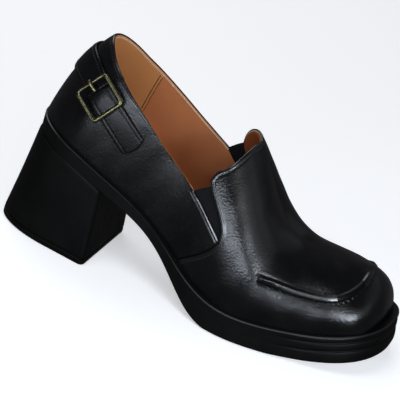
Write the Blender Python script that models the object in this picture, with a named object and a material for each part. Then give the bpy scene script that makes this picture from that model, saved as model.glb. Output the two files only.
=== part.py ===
"""Platform loafer with a block heel, right shoe.

x runs from heel to toe, +y to the inner side of the foot, z up. Tables and sizes are in millimetres;
an empty puts the middle of the shoe's box over the origin.
"""
import math

import bmesh
import bpy
import numpy as np

MM = 0.001
GAP = 0.3
WELD = 0.001
TINY = 1e-9
U_STEP = 0.004
NEWTON_STEPS = 6
HALVINGS = 30
HEIGHT_SAMPLES = 400
SHARP_DEGREES = 35.0
LATERAL = -1
MEDIAL = 1
SIDES = (LATERAL, MEDIAL)

# Sole
RIM_BACK = 2.5
SHOE_LENGTH = 237.0
HEEL_ROUND = 30.0
HEEL_ROUND_POWER = 2.0
TOE_ROUND = 41.0
TOE_ROUND_POWER = 2.5
SOLE_STATIONS = 44
# x, outer edge y, inner edge y, seat height, underside height
SOLE = np.array((
    (0, -27.0, 28.0, 71.0, 62.0),
    (14, -29.5, 30.0, 69.4, 60.4),
    (28, -32.0, 31.2, 66.3, 57.4),
    (42, -33.0, 31.3, 61.5, 52.8),
    (56, -32.3, 30.5, 55.8, 47.4),
    (72, -30.8, 29.2, 48.7, 40.9),
    (88, -30.5, 28.3, 40.3, 33.0),
    (102, -33.0, 28.5, 31.7, 23.3),
    (114, -37.0, 29.6, 24.6, 13.3),
    (126, -41.3, 31.9, 19.2, 4.6),
    (138, -45.0, 35.0, 16.3, 0.2),
    (150, -46.8, 38.3, 15.4, -0.6),
    (165, -45.6, 41.9, 15.6, -0.6),
    (180, -41.8, 44.8, 16.6, 0.2),
    (195, -38.0, 46.5, 18.6, 2.0),
    (210, -35.5, 47.0, 22.0, 5.3),
    (224, -34.5, 46.5, 26.4, 9.2),
    (237, -34.0, 46.0, 31.0, 13.5),
))
# Side of the platform: part of the height from the top edge down, inset from the rim
SIDE_PROFILE = (
    (0.00, 0.8),
    (0.05, 0.0),
    (0.17, 0.0),
    (0.20, 1.3),
    (0.25, 1.3),
    (0.28, 0.3),
    (0.49, 0.3),
    (0.52, 1.5),
    (0.57, 1.5),
    (0.60, 0.5),
    (0.94, 0.5),
    (1.00, 1.6),
)
GROOVED_THICKNESS = (9.0, 14.0)
# The platform's side slopes out at the toe, over this stretch of x
TOE_FLARE = 3.0
TOE_FLARE_SPAN = (195.0, 236.0)

# Heel block: height part, front x, back x, middle y, half width at the front, taper to the back
HEEL = np.array((
    (0.0, 58.5, -6.2, -1.5, 32.5, 0.16),
    (0.5, 57.0, -1.4, -1.2, 31.6, 0.09),
    (1.0, 56.0, 2.6, -0.8, 31.0, 0.02),
))
HEEL_BACK_ROUND = 37.0
HEEL_BACK_POWER = 2.2
HEEL_FRONT_ROUND = 3.0
HEEL_LIFT_HEIGHT = 3.5
HEEL_LEVELS = 7
HEEL_SIDE_STEPS = 12
HEEL_CORNER_STEPS = 3

# Last: the shape the upper is pulled over
WALL = 2.0
# Sole x and the width of the ledge round the upper
LEDGE = np.array((
    (2.5, 0.6),
    (20, 2.0),
    (60, 2.8),
    (130, 3.8),
    (200, 3.8),
    (237, 6.6),
))
# x, y and height of the crest line over heel opening, instep and toe
CREST = np.array((
    (47, 0.0, 136.0),
    (75, 0.0, 130.5),
    (100, 0.5, 118.0),
    (116, 1.0, 111.4),
    (128, 2.0, 100.6),
    (140, 2.5, 83.6),
    (151, 3.0, 67.0),
    (160, 3.5, 57.8),
    (169, 4.0, 54.0),
    (180, 4.5, 52.8),
    (191, 5.0, 52.2),
    (202, 5.5, 51.8),
))
# Sole x, forward lean and roundness power of the section that starts there
SECTION = np.array((
    (2.5, 0.23, 2.2),
    (40, 0.20, 2.2),
    (80, 0.10, 2.4),
    (115, 0.00, 2.5),
    (150, 0.00, 2.1),
    (200, 0.00, 2.15),
    (237, 0.00, 1.95),
))

# Panel lines of the upper in the side view: x, height at the outer side, height at the inner side
TOPLINE = np.array((
    (25, 128.2, 128.2),
    (29, 127.0, 127.0),
    (33, 124.4, 124.2),
    (40, 118.5, 118.4),
    (46, 114.0, 114.1),
    (52, 108.9, 111.1),
    (64, 99.6, 105.0),
    (75, 90.6, 99.2),
    (87, 80.6, 92.6),
    (97, 73.7, 87.1),
    (108, 68.3, 80.8),
))
QUARTER_FRONT = {LATERAL: (107.0, 68.7), MEDIAL: (107.6, 81.0)}
V_BOTTOM = {LATERAL: (132.2, 49.5), MEDIAL: (131.5, 52.5)}
V_FRONT = {
    LATERAL: ((131.4, 57.7), (124.0, 66.9), (116.6, 75.1)),
    MEDIAL: ((129.5, 61.0), (122.6, 73.0), (116.0, 83.5)),
}
TONGUE_CORNER = {LATERAL: (114.9, 78.6), MEDIAL: (115.0, 87.5)}
TONGUE_EDGE = {
    LATERAL: ((116.4, 84.2), (121.8, 87.8), (126.6, 95.6)),
    MEDIAL: ((115.4, 93.2), (118.0, 98.6), (123.0, 101.4)),
}
TONGUE_TOP_X = 128.7
SEAM = {
    LATERAL: ((120.0, 33.8), (128.5, 42.2)),
    MEDIAL: ((119.5, 34.5), (127.8, 43.5)),
}
SEAM_FOOT_X = 110.0
MID_RISE_BACK = 0.34
MID_RISE_TOE = 0.26
# Moc ridge: sole x and the part of the way up the section, outer and inner side
RIDGE = np.array((
    (150, 0.29, 0.29),
    (161, 0.31, 0.31),
    (170, 0.35, 0.35),
    (190, 0.36, 0.36),
    (203, 0.37, 0.37),
    (210, 0.39, 0.39),
    (216, 0.45, 0.45),
    (223, 0.57, 0.57),
    (231, 0.71, 0.71),
    (237, 0.78, 0.78),
))
RIDGE_START_X = 154.0
RIDGE_FULL_X = 168.0
RIDGE_HEIGHT = 1.6
RIDGE_HALF_WIDTH = 2.0
VAMP_LAP = 0.8
QUARTER_ROWS = 15
VAMP_ROWS = 22
LOW_COLUMNS = 4
QUARTER_COLUMNS = 6
MIDDLE_COLUMNS = 4
TONGUE_COLUMNS = 6

# Insole
INSOLE_THICKNESS = 2.5
INSOLE_CLEARANCE = 1.2
INSOLE_STATIONS = 26

# Elastic insets: corners in the side view, clockwise from the upper rear
GORE = {
    LATERAL: ((102.5, 65.1), (120.5, 78.1), (136.0, 47.0), (128.0, 44.0)),
    MEDIAL: ((105.0, 78.7), (120.0, 91.4), (135.5, 49.0), (127.0, 46.0)),
}
GORE_THICKNESS = 1.0
GORE_STEPS = 6

# Strap: centre line in the side view and width, from the buckle round the back to the inner side
STRAP_THICKNESS = 1.6
STRAP_LATERAL = ((36.5, 102.0), (27.0, 108.3))
STRAP_BACK_HEIGHT = 110.5
STRAP_MEDIAL = ((27.0, 107.0), (37.0, 101.0), (49.0, 92.6), (64.0, 82.0))
STRAP_WIDTH_BACK = 17.0
STRAP_WIDTH = 14.0
STRAP_TAPER = (0.05, 0.24)
STRAP_STEPS = 30
TAB = ((37.6, 101.2), (49.0, 92.7), (65.4, 79.4))
TAB_POINT = 2.0
TAB_STEPS = 10
STRAP_ACROSS = 4

# Buckle
BUCKLE_CENTRE = (39.9, 98.7)
BUCKLE_SLOPE = -37.0
BUCKLE_LENGTH = 21.6
BUCKLE_WIDTH = 22.4
BUCKLE_WIRE = 2.4
BUCKLE_CORNER = 2.2
BUCKLE_LIFT = 3.8
PRONG_LENGTH = 7.0
PRONG_WIRE = 1.6
WIRE_SIDES = 8


class Spline:
    """Natural cubic spline through one column of a table, held constant beyond its rows."""

    def __init__(self, table, column):
        self.x = table[:, 0].astype(float)
        self.y = table[:, column].astype(float)
        self.step = np.diff(self.x)
        slope = np.diff(self.y) / self.step
        matrix = np.eye(len(self.x))
        right = np.zeros(len(self.x))
        for i in range(1, len(self.x) - 1):
            before, after = self.step[i - 1], self.step[i]
            matrix[i, i - 1:i + 2] = before, 2 * (before + after), after
            right[i] = 6 * (slope[i] - slope[i - 1])
        self.bend = np.linalg.solve(matrix, right)

    def __call__(self, x):
        x = np.clip(x, self.x[0], self.x[-1])
        k = np.clip(np.searchsorted(self.x, x) - 1, 0, len(self.step) - 1)
        h = self.step[k]
        a = (self.x[k + 1] - x) / h
        b = 1 - a
        curve = (a ** 3 - a) * self.bend[k] + (b ** 3 - b) * self.bend[k + 1]
        return a * self.y[k] + b * self.y[k + 1] + curve * h * h / 6


outer_edge, inner_edge, seat_height, raw_underside = (Spline(SOLE, column) for column in range(1, 5))
ledge_width = Spline(LEDGE, 1)
crest_y, crest_z = (Spline(CREST, column) for column in (1, 2))
section_lean, section_power = (Spline(SECTION, column) for column in (1, 2))
topline_z = {LATERAL: Spline(TOPLINE, 1), MEDIAL: Spline(TOPLINE, 2)}
ridge_rise = {LATERAL: Spline(RIDGE, 1), MEDIAL: Spline(RIDGE, 2)}
heel_front, heel_back, heel_middle, heel_half, heel_taper = (Spline(HEEL, column) for column in range(1, 6))


def smooth_step(low, high, x):
    t = np.clip((x - low) / (high - low), 0, 1)
    return t * t * (3 - 2 * t)


def sole_underside(x):
    """Height of the sole's underside, pressed flat where it meets the floor."""
    return np.maximum(raw_underside(x), 0.0)


def station_x(u):
    return RIM_BACK + (SHOE_LENGTH - RIM_BACK) * 0.5 * (1 - np.cos(np.pi * u))


def station_u(x):
    return math.acos(1 - 2 * (x - RIM_BACK) / (SHOE_LENGTH - RIM_BACK)) / math.pi


def crest_x(u):
    return CREST[0, 0] + (CREST[-1, 0] - CREST[0, 0]) * (station_x(u) - RIM_BACK) / (SHOE_LENGTH - RIM_BACK)


def crest_u(x):
    """u of the section whose crest lies at x."""
    part = (x - CREST[0, 0]) / (CREST[-1, 0] - CREST[0, 0])
    return station_u(RIM_BACK + part * (SHOE_LENGTH - RIM_BACK))


def mirrored(u, side):
    """Brings a u beyond heel or toe back on the other side of the shoe."""
    over = (u < 0) | (u > 1)
    u = np.where(u < 0, -u, np.where(u > 1, 2 - u, u))
    return u, np.where(over, -side, side)


def rim(u, side):
    """Point of the sole rim in plan; u runs from 0 at the heel's back to 1 at the toe's tip."""
    u, side = mirrored(u, side)
    x = station_x(u)
    heel = np.clip((RIM_BACK + HEEL_ROUND - x) / HEEL_ROUND, 0, 1)
    toe = np.clip((x - SHOE_LENGTH + TOE_ROUND) / TOE_ROUND, 0, 1)
    cap = (1 - heel ** HEEL_ROUND_POWER) ** (1 / HEEL_ROUND_POWER)
    cap = cap * (1 - toe ** TOE_ROUND_POWER) ** (1 / TOE_ROUND_POWER)
    outer = outer_edge(x)
    inner = inner_edge(x)
    return np.stack((x, (outer + inner) / 2 + side * cap * (inner - outer) / 2), -1)


def inset_rim(u, side, inset):
    """Point of the rim moved inwards, square to the outline."""
    along = rim(u + U_STEP, side) - rim(u - U_STEP, side)
    across = np.stack((along[..., 1], -along[..., 0]), -1) * np.asarray(side)[..., None]
    across = across / np.linalg.norm(across, axis=-1, keepdims=True)
    return rim(u, side) + np.asarray(inset)[..., None] * across


def last_point(u, t, side):
    """Point of the last: u from heel to toe, t from the feather line (0) to the crest (1)."""
    u = np.asarray(u, float)
    t = np.asarray(t, float)
    side = np.where(t > 1, -side, side)
    t = np.clip(np.where(t > 1, 2 - t, t), 0, 1)
    u, side = mirrored(u, side)
    x = station_x(u)
    plan = inset_rim(u, side, ledge_width(x))
    foot = np.stack((plan[..., 0], plan[..., 1], seat_height(plan[..., 0]) + GAP), -1)
    top_x = crest_x(u)
    crest = np.stack((top_x, crest_y(top_x), crest_z(top_x)), -1)
    rise = crest[..., 2] - foot[..., 2]
    upright = np.stack((section_lean(x) * rise, 0 * rise, rise), -1)
    base = crest - upright
    power = 2 / section_power(x)
    out = np.cos(0.5 * np.pi * t).clip(0) ** power
    up = np.sin(0.5 * np.pi * t).clip(0) ** power
    return base + (foot - base) * out[..., None] + upright * up[..., None]


def last_normal(u, t, side):
    """Outward normal of the last, shared by both sides where they meet."""
    along = last_point(u + U_STEP, t, side) - last_point(u - U_STEP, t, side)
    up = last_point(u, t + U_STEP, side) - last_point(u, t - U_STEP, side)
    normal = np.cross(along, up) * -np.asarray(side)[..., None]
    length = np.linalg.norm(normal, axis=-1, keepdims=True)
    return np.where(length > TINY, normal, (0.0, 0.0, 1.0)) / np.where(length > TINY, length, 1.0)


def wall_point(u, t, side, offset):
    return last_point(u, t, side) + np.asarray(offset)[..., None] * last_normal(u, t, side)


def nearest_place(place, target, point_at):
    """Newton steps over u, t towards a target that point_at should reach."""
    place = np.array(place, float)
    moves = U_STEP * np.eye(2)
    for _ in range(NEWTON_STEPS):
        columns = [(point_at(place + move) - point_at(place - move)) / (2 * U_STEP) for move in moves]
        miss = target - point_at(place)
        place = place + np.linalg.lstsq(np.array(columns).T, miss, rcond=None)[0]
    return place


def locate(x, z, side):
    """u and t of the point of the last that the side view shows at x, z."""
    us, ts = np.meshgrid(np.linspace(0.06, 0.94, 45), np.linspace(0.04, 0.96, 24))
    grid = last_point(us, ts, side)
    start = np.argmin((grid[..., 0] - x) ** 2 + (grid[..., 2] - z) ** 2)
    return nearest_place((us.flat[start], ts.flat[start]), np.array((x, z)),
                         lambda place: last_point(*place, side)[[0, 2]])


def located(points, side):
    return [locate(x, z, side) for x, z in points]


def back_place(height):
    """Place on the middle of the back at a height."""
    t = np.linspace(0, 1, HEIGHT_SAMPLES)
    return (0.0, np.interp(height, last_point(0 * t, t, MEDIAL)[:, 2], t))


def topline_t(u, side):
    """Part of the section at u that stays below the topline."""
    low = np.full(np.shape(u), 0.1)
    high = np.full(np.shape(u), 0.99)
    for _ in range(HALVINGS):
        middle = (low + high) / 2
        point = last_point(u, middle, side)
        above = point[..., 2] > topline_z[side](point[..., 0])
        high = np.where(above, middle, high)
        low = np.where(above, low, middle)
    return low


def resample(points, count):
    """Evenly spaced points along a polyline of u, t pairs."""
    points = np.array(points, float)
    run = np.concatenate(((0,), np.cumsum(np.hypot(*np.diff(points, axis=0).T))))
    at = np.linspace(0, run[-1], count + 1)
    return np.stack([np.interp(at, run, points[:, k]) for k in range(2)], -1)


def rounded(points, passes):
    """Polyline with its inner corners cut, for round edges."""
    points = [np.array(p, float) for p in points]
    for _ in range(passes):
        fresh = [points[0]]
        for a, b in zip(points, points[1:]):
            fresh += [0.75 * a + 0.25 * b, 0.25 * a + 0.75 * b]
        points = fresh + [points[-1]]
    return points


def coons(bottom, top, left, right):
    """Grid of u, t pairs between four border lines."""
    rows = np.linspace(0, 1, len(bottom))[:, None, None]
    cols = np.linspace(0, 1, len(left))[None, :, None]
    ruled = (1 - cols) * bottom[:, None] + cols * top[:, None]
    ruled = ruled + (1 - rows) * left[None] + rows * right[None]
    corners = (1 - rows) * ((1 - cols) * bottom[0] + cols * top[0])
    corners = corners + rows * ((1 - cols) * bottom[-1] + cols * top[-1])
    return ruled - corners


def line_to(start, end, count):
    return start + np.linspace(0, 1, count + 1)[:, None] * (np.array(end) - start)


def ridge_strength(u):
    return smooth_step(RIDGE_START_X, RIDGE_FULL_X, station_x(u))


def moc_line(corner, rows, side):
    """Line of the moc seam; behind the ridge it runs up to the tongue's corner."""
    u = corner[0] + rows * (1 - corner[0])
    blend = smooth_step(corner[0], station_u(RIDGE[0, 0]), u)
    return np.stack((u, corner[1] + (ridge_rise[side](station_x(u)) - corner[1]) * blend), -1)


def beside_ridge(line, neighbours, side):
    """Points one ridge half width away from the moc line, towards the neighbouring grid line."""
    length = np.linalg.norm(last_point(*line.T, side) - last_point(*neighbours.T, side), axis=-1)
    return line + (neighbours - line) * np.minimum(RIDGE_HALF_WIDTH / length, 0.5)[:, None]


def quarter_grid(side, seam, v_bottom):
    """Grid of the quarter from heel back to the V cut; its lower columns end on the vamp seam."""
    rows = np.linspace(0, 1, QUARTER_ROWS + 1)
    front = locate(*QUARTER_FRONT[side], side)
    top_u = rows * front[0]
    foot = line_to(np.zeros(2), seam[0], QUARTER_ROWS)
    middle = line_to(np.array((0, MID_RISE_BACK)), v_bottom, QUARTER_ROWS)
    top = np.stack((top_u, topline_t(top_u, side)), -1)
    top[0] = 0.0, topline_t(0.0, LATERAL)
    low = coons(foot, middle, line_to(foot[0], middle[0], LOW_COLUMNS), seam)
    high = coons(middle, top, line_to(middle[0], top[0], QUARTER_COLUMNS),
                 line_to(v_bottom, top[-1], QUARTER_COLUMNS))
    return np.concatenate((low, high[:, 1:]), 1)


def vamp_grid(side, seam, v_bottom):
    """Grid of the vamp from seam, V cut and tongue edge to the toe, and its column on the moc ridge."""
    rows = np.linspace(0, 1, VAMP_ROWS + 1)
    corner = locate(*TONGUE_CORNER[side], side)
    toe = [np.array((1.0, t)) for t in (0.0, MID_RISE_TOE, ridge_rise[side](SHOE_LENGTH), 1.0)]
    foot = line_to(seam[0], toe[0], VAMP_ROWS)
    middle = line_to(v_bottom, toe[1], VAMP_ROWS)
    moc = moc_line(corner, rows, side)
    crest = line_to(np.array((crest_u(TONGUE_TOP_X), 1.0)), toe[3], VAMP_ROWS)
    v_edge = resample(rounded([v_bottom, *located(V_FRONT[side], side), corner], 1), MIDDLE_COLUMNS)
    tongue = resample(rounded([corner, *located(TONGUE_EDGE[side], side), crest[0]], 1), TONGUE_COLUMNS)
    low = coons(foot, middle, seam, line_to(toe[0], toe[1], LOW_COLUMNS))
    sides = coons(middle, moc, v_edge, line_to(toe[1], toe[2], MIDDLE_COLUMNS))
    top = coons(moc, crest, tongue, line_to(toe[2], toe[3], TONGUE_COLUMNS))
    below = beside_ridge(moc, sides[:, -2], side)[:, None]
    above = beside_ridge(moc, top[:, 1], side)[:, None]
    return np.concatenate((low, sides[:, 1:-1], below, top[:, :1], above, top[:, 1:]), 1)


def upper_grids(side):
    """Grids of u, t for the quarter and the vamp, which share the seam below the V cut."""
    v_bottom = locate(*V_BOTTOM[side], side)
    foot = np.array((station_u(SEAM_FOOT_X), 0.0))
    seam = resample([foot, *located(SEAM[side], side), v_bottom], LOW_COLUMNS)
    return quarter_grid(side, seam, v_bottom), vamp_grid(side, seam, v_bottom)


def material(name, colour, roughness, metallic=0.0):
    made = bpy.data.materials.new(name)
    made.use_nodes = True
    shader = made.node_tree.nodes["Principled BSDF"]
    shader.inputs["Base Color"].default_value = (*colour, 1)
    shader.inputs["Roughness"].default_value = roughness
    shader.inputs["Metallic"].default_value = metallic
    return made


def make_solid(name, faces, look, parent):
    """One closed object from faces given as lists of points in millimetres."""
    mesh = bmesh.new()
    for face in faces:
        corners = [mesh.verts.new(np.asarray(point) * MM) for point in face]
        mesh.faces.new(corners)
    bmesh.ops.remove_doubles(mesh, verts=mesh.verts, dist=WELD * MM)
    bmesh.ops.triangulate(mesh, faces=mesh.faces)
    bmesh.ops.recalc_face_normals(mesh, faces=mesh.faces)
    data = bpy.data.meshes.new(name)
    mesh.to_mesh(data)
    mesh.free()
    data.shade_smooth()
    data.set_sharp_from_angle(angle=math.radians(SHARP_DEGREES))
    data.materials.append(look)
    made = bpy.data.objects.new(name, data)
    made.parent = parent
    bpy.context.scene.collection.objects.link(made)
    return made


def grid_faces(grid):
    rows, cols = grid.shape[:2]
    return [[grid[i, j], grid[i + 1, j], grid[i + 1, j + 1], grid[i, j + 1]]
            for i in range(rows - 1) for j in range(cols - 1)]


def between(line_a, line_b):
    return [[line_a[i], line_a[i + 1], line_b[i + 1], line_b[i]] for i in range(len(line_a) - 1)]


def slab_faces(outer, inner):
    """Closed plate between two grids of points."""
    faces = grid_faces(outer) + grid_faces(inner)
    for edge in ((slice(None), 0), (slice(None), -1), (0, slice(None)), (-1, slice(None))):
        faces += between(outer[edge], inner[edge])
    return faces


def loop_stations(count):
    """u and side of the stations round the outline, from the heel's back over the outer side."""
    u = np.linspace(0, 1, count + 1)
    return np.concatenate((u, u[-2:0:-1])), np.array([LATERAL] * (count + 1) + [MEDIAL] * (count - 1))


def layered_faces(loops):
    """Closed solid from stacked loops of the outline, with strips across the top and bottom."""
    count = len(loops[0])
    faces = []
    for upper, lower in zip(loops, loops[1:]):
        faces += between([*upper, upper[0]], [*lower, lower[0]])
    for cap in (loops[0], loops[-1]):
        for i in range(count // 2):
            faces.append([cap[i], cap[i + 1], cap[-i - 1], cap[-i % count]])
    return faces


def outsole_faces():
    u, side = loop_stations(SOLE_STATIONS)
    thickness = seat_height(station_x(u)) - sole_underside(station_x(u))
    grooved = smooth_step(*GROOVED_THICKNESS, thickness)
    loops = []
    for part, inset in SIDE_PROFILE:
        whole_round = part in (0.0, 1.0)
        flare = TOE_FLARE * (1 - part) * smooth_step(*TOE_FLARE_SPAN, station_x(u))
        x, y = inset_rim(u, side, flare + inset * (np.ones_like(u) if whole_round else grooved)).T
        top = seat_height(x)
        loops.append(np.stack((x, y, top + part * (sole_underside(x) - top)), -1))
    return layered_faces(loops)


def heel_outline(part):
    """Plan of the heel from its back round the outer side to the front and back again."""
    front, back = heel_front(part), heel_back(part)
    power = 2 / HEEL_BACK_POWER
    sweep = np.linspace(0, np.pi / 2, HEEL_SIDE_STEPS + 1)
    bend = np.linspace(0, np.pi / 2, HEEL_CORNER_STEPS + 1)
    corner_x = front - HEEL_FRONT_ROUND * (1 - np.sin(bend))
    round_x = back + HEEL_BACK_ROUND * (1 - np.cos(sweep).clip(0) ** power)
    x = np.concatenate((round_x, corner_x, (front,)))
    y = heel_half(part) - heel_taper(part) * (front - x)
    y[:len(sweep)] *= np.sin(sweep) ** power
    y[len(sweep):-1] -= HEEL_FRONT_ROUND * (1 - np.cos(bend))
    y[-1] = 0.0
    return np.concatenate((x, x[-2:0:-1])), heel_middle(part) + np.concatenate((-y, y[-2:0:-1]))


def heel_block_faces():
    bottom = HEEL_LIFT_HEIGHT + GAP
    loops = []
    for part in np.linspace(1, 0, HEEL_LEVELS):
        x, y = heel_outline(part)
        loops.append(np.stack((x, y, bottom + part * (raw_underside(x) - GAP - bottom)), -1))
    return layered_faces(loops)


def heel_lift_faces():
    x, y = heel_outline(0.0)
    return layered_faces([np.stack((x, y, 0 * x + z), -1) for z in (HEEL_LIFT_HEIGHT, 0.0)])


def insole_faces():
    u, side = loop_stations(INSOLE_STATIONS)
    x, y = inset_rim(u, side, ledge_width(station_x(u)) + WALL + INSOLE_CLEARANCE).T
    seat = seat_height(x) + GAP
    return layered_faces([np.stack((x, y, seat + lift), -1) for lift in (INSOLE_THICKNESS, 0.0)])


def grid_points(grid, side, offset):
    return wall_point(grid[..., 0], grid[..., 1], side, offset)


def upper_faces():
    """Quarters and vamp as one wall: outside, inside, and the edges that join them."""
    faces = []
    for side in SIDES:
        quarter, vamp = upper_grids(side)
        proud = np.full(vamp.shape[:2], VAMP_LAP)
        proud[:, LOW_COLUMNS + MIDDLE_COLUMNS + 1] += RIDGE_HEIGHT * ridge_strength(vamp[:, 0, 0])
        quarter_out = grid_points(quarter, side, 0.0)
        quarter_in = grid_points(quarter, side, -WALL)
        vamp_out = grid_points(vamp, side, proud)
        vamp_in = grid_points(vamp, side, -WALL)
        for grid in (quarter_out, quarter_in, vamp_out, vamp_in):
            faces += grid_faces(grid)
        for outside, inside in ((quarter_out, quarter_in), (vamp_out, vamp_in)):
            faces += between(outside[:, 0], inside[:, 0])
        faces += between(quarter_out[:, -1], quarter_in[:, -1])
        faces += between(quarter_out[-1, LOW_COLUMNS:], quarter_in[-1, LOW_COLUMNS:])
        faces += between(vamp_out[0, LOW_COLUMNS:], vamp_in[0, LOW_COLUMNS:])
        faces += between(quarter_out[-1, :LOW_COLUMNS + 1], vamp_out[0, :LOW_COLUMNS + 1])
        for end in (0, LOW_COLUMNS):
            faces.append([quarter_out[-1, end], vamp_out[0, end], quarter_in[-1, end]])
    return faces


def gore_faces(side):
    upper_rear, upper_front, lower_front, lower_rear = located(GORE[side], side)
    grid = coons(line_to(lower_rear, lower_front, GORE_STEPS), line_to(upper_rear, upper_front, GORE_STEPS),
                 line_to(lower_rear, upper_rear, GORE_STEPS), line_to(lower_front, upper_front, GORE_STEPS))
    outside = -WALL - GAP
    return slab_faces(grid_points(grid, side, outside), grid_points(grid, side, outside - GORE_THICKNESS))


def signed_places(side, points):
    """Places on the last with u counted negative on the outer side, so a line can cross the back."""
    return [(side * u, t) for u, t in located(points, side)]


def signed_point(place):
    return last_point(*place, MEDIAL)


def band_faces(line, widths, thickness, point=0.0):
    """Flat band laid on the wall along a line of signed places, its far end drawn out to a blunt point."""
    centre = np.array([signed_point(place) for place in line])
    places = []
    for i, place in enumerate(line):
        ahead = centre[min(i + 1, len(line) - 1)] - centre[max(i - 1, 0)]
        across = np.cross(last_normal(*place, MEDIAL), ahead)
        across = across / np.linalg.norm(across)
        out = point * ahead / np.linalg.norm(ahead) if i == len(line) - 1 else 0.0
        places.append([nearest_place(place, centre[i] + k * widths[i] * across + (1 - 4 * k * k) * out, signed_point)
                       for k in np.linspace(-0.5, 0.5, STRAP_ACROSS + 1)])
    grid = np.array(places)
    return slab_faces(grid_points(grid, MEDIAL, GAP + thickness), grid_points(grid, MEDIAL, GAP))


def smooth_line(points, count):
    return resample(rounded(points, 3), count)


def heel_strap_faces():
    points = [*signed_places(LATERAL, STRAP_LATERAL), back_place(STRAP_BACK_HEIGHT),
              *signed_places(MEDIAL, STRAP_MEDIAL)]
    line = smooth_line(points, STRAP_STEPS)
    spread = 1 - smooth_step(*STRAP_TAPER, np.abs(line[:, 0]))
    return band_faces(line, STRAP_WIDTH + (STRAP_WIDTH_BACK - STRAP_WIDTH) * spread, STRAP_THICKNESS)


def strap_tab_faces():
    line = smooth_line(signed_places(LATERAL, TAB), TAB_STEPS)
    return band_faces(line, np.full(len(line), STRAP_WIDTH), STRAP_THICKNESS, TAB_POINT)


def buckle_frame_axes():
    """Centre of the buckle and its directions along the strap, across it and out of the wall."""
    place = locate(*BUCKLE_CENTRE, LATERAL)
    out = last_normal(*place, LATERAL)
    slope = math.radians(BUCKLE_SLOPE)
    along = np.array((math.cos(slope), 0, math.sin(slope)))
    along = along - out * (along @ out)
    along = along / np.linalg.norm(along)
    return wall_point(*place, LATERAL, BUCKLE_LIFT), along, np.cross(out, along), out


def tube_faces(path, radius, closed, normal):
    """Round bar along a path that lies in one plane."""
    count = len(path)
    rings = []
    for i, point in enumerate(path):
        after = path[(i + 1) % count] if closed else path[min(i + 1, count - 1)]
        before = path[i - 1] if closed else path[max(i - 1, 0)]
        along = (after - before) / np.linalg.norm(after - before)
        sideways = np.cross(normal, along)
        rings.append([point + radius * (math.cos(a) * sideways + math.sin(a) * normal)
                      for a in np.linspace(0, 2 * math.pi, WIRE_SIDES + 1)])
    faces = []
    last = count if closed else count - 1
    for i in range(last):
        faces += between(rings[i], rings[(i + 1) % count])
    if not closed:
        faces += [rings[0][:-1], rings[-1][:-1]]
    return faces


def buckle_frame_faces():
    centre, along, across, out = buckle_frame_axes()
    half_length = (BUCKLE_LENGTH - BUCKLE_WIRE) / 2 - BUCKLE_CORNER
    half_width = (BUCKLE_WIDTH - BUCKLE_WIRE) / 2 - BUCKLE_CORNER
    path = []
    for quarter, (sx, sy) in enumerate(((1, 1), (-1, 1), (-1, -1), (1, -1))):
        for k in range(4):
            angle = 0.5 * math.pi * (quarter + k / 3)
            path.append(centre + along * (sx * half_length + BUCKLE_CORNER * math.cos(angle))
                        + across * (sy * half_width + BUCKLE_CORNER * math.sin(angle)))
    return tube_faces(path, BUCKLE_WIRE / 2, True, out)


def buckle_prong_faces():
    centre, along, _, out = buckle_frame_axes()
    start = centre - along * (BUCKLE_LENGTH / 2 - BUCKLE_WIRE - GAP)
    path = [start + along * PRONG_LENGTH * k / 3 for k in range(4)]
    return tube_faces(path, PRONG_WIRE / 2, False, out)


def main():
    for old in list(bpy.data.objects):
        bpy.data.objects.remove(old, do_unlink=True)
    leather = material("black_leather", (0.012, 0.012, 0.013), 0.38)
    rubber = material("black_rubber", (0.016, 0.015, 0.014), 0.62)
    lining = material("tan_lining", (0.46, 0.20, 0.09), 0.75)
    elastic = material("black_elastic", (0.012, 0.012, 0.014), 0.85)
    brass = material("antique_brass", (0.50, 0.40, 0.17), 0.32, 1.0)

    sole = outsole_faces()
    low_x, low_y, _ = np.min(sole, axis=(0, 1))
    high_x, high_y, _ = np.max(sole, axis=(0, 1))
    middle_x = (min(low_x, HEEL[0, 2]) + high_x) / 2
    middle_y = (low_y + high_y) / 2
    origin = bpy.data.objects.new("shoe_origin", None)
    origin.location = (-middle_x * MM, -middle_y * MM, 0)
    bpy.context.scene.collection.objects.link(origin)

    make_solid("outsole", sole, rubber, origin)
    make_solid("heel_block", heel_block_faces(), rubber, origin)
    make_solid("heel_lift", heel_lift_faces(), rubber, origin)
    make_solid("insole", insole_faces(), lining, origin)
    make_solid("upper", upper_faces(), leather, origin)
    make_solid("gore_lateral", gore_faces(LATERAL), elastic, origin)
    make_solid("gore_medial", gore_faces(MEDIAL), elastic, origin)
    make_solid("heel_strap", heel_strap_faces(), leather, origin)
    make_solid("strap_tab", strap_tab_faces(), leather, origin)
    make_solid("buckle_frame", buckle_frame_faces(), brass, origin)
    make_solid("buckle_prong", buckle_prong_faces(), brass, origin)


main()
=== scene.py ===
"""Looks of a platform loafer with a block heel: leather panels, lining, strap, buckle, sole and studio.

The shape tables repeat those of the part's source, in millimetres. x runs from heel to toe, +y to the inner
side of the foot, z up; ORIGIN puts the tables into the frame.
"""

import math

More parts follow.
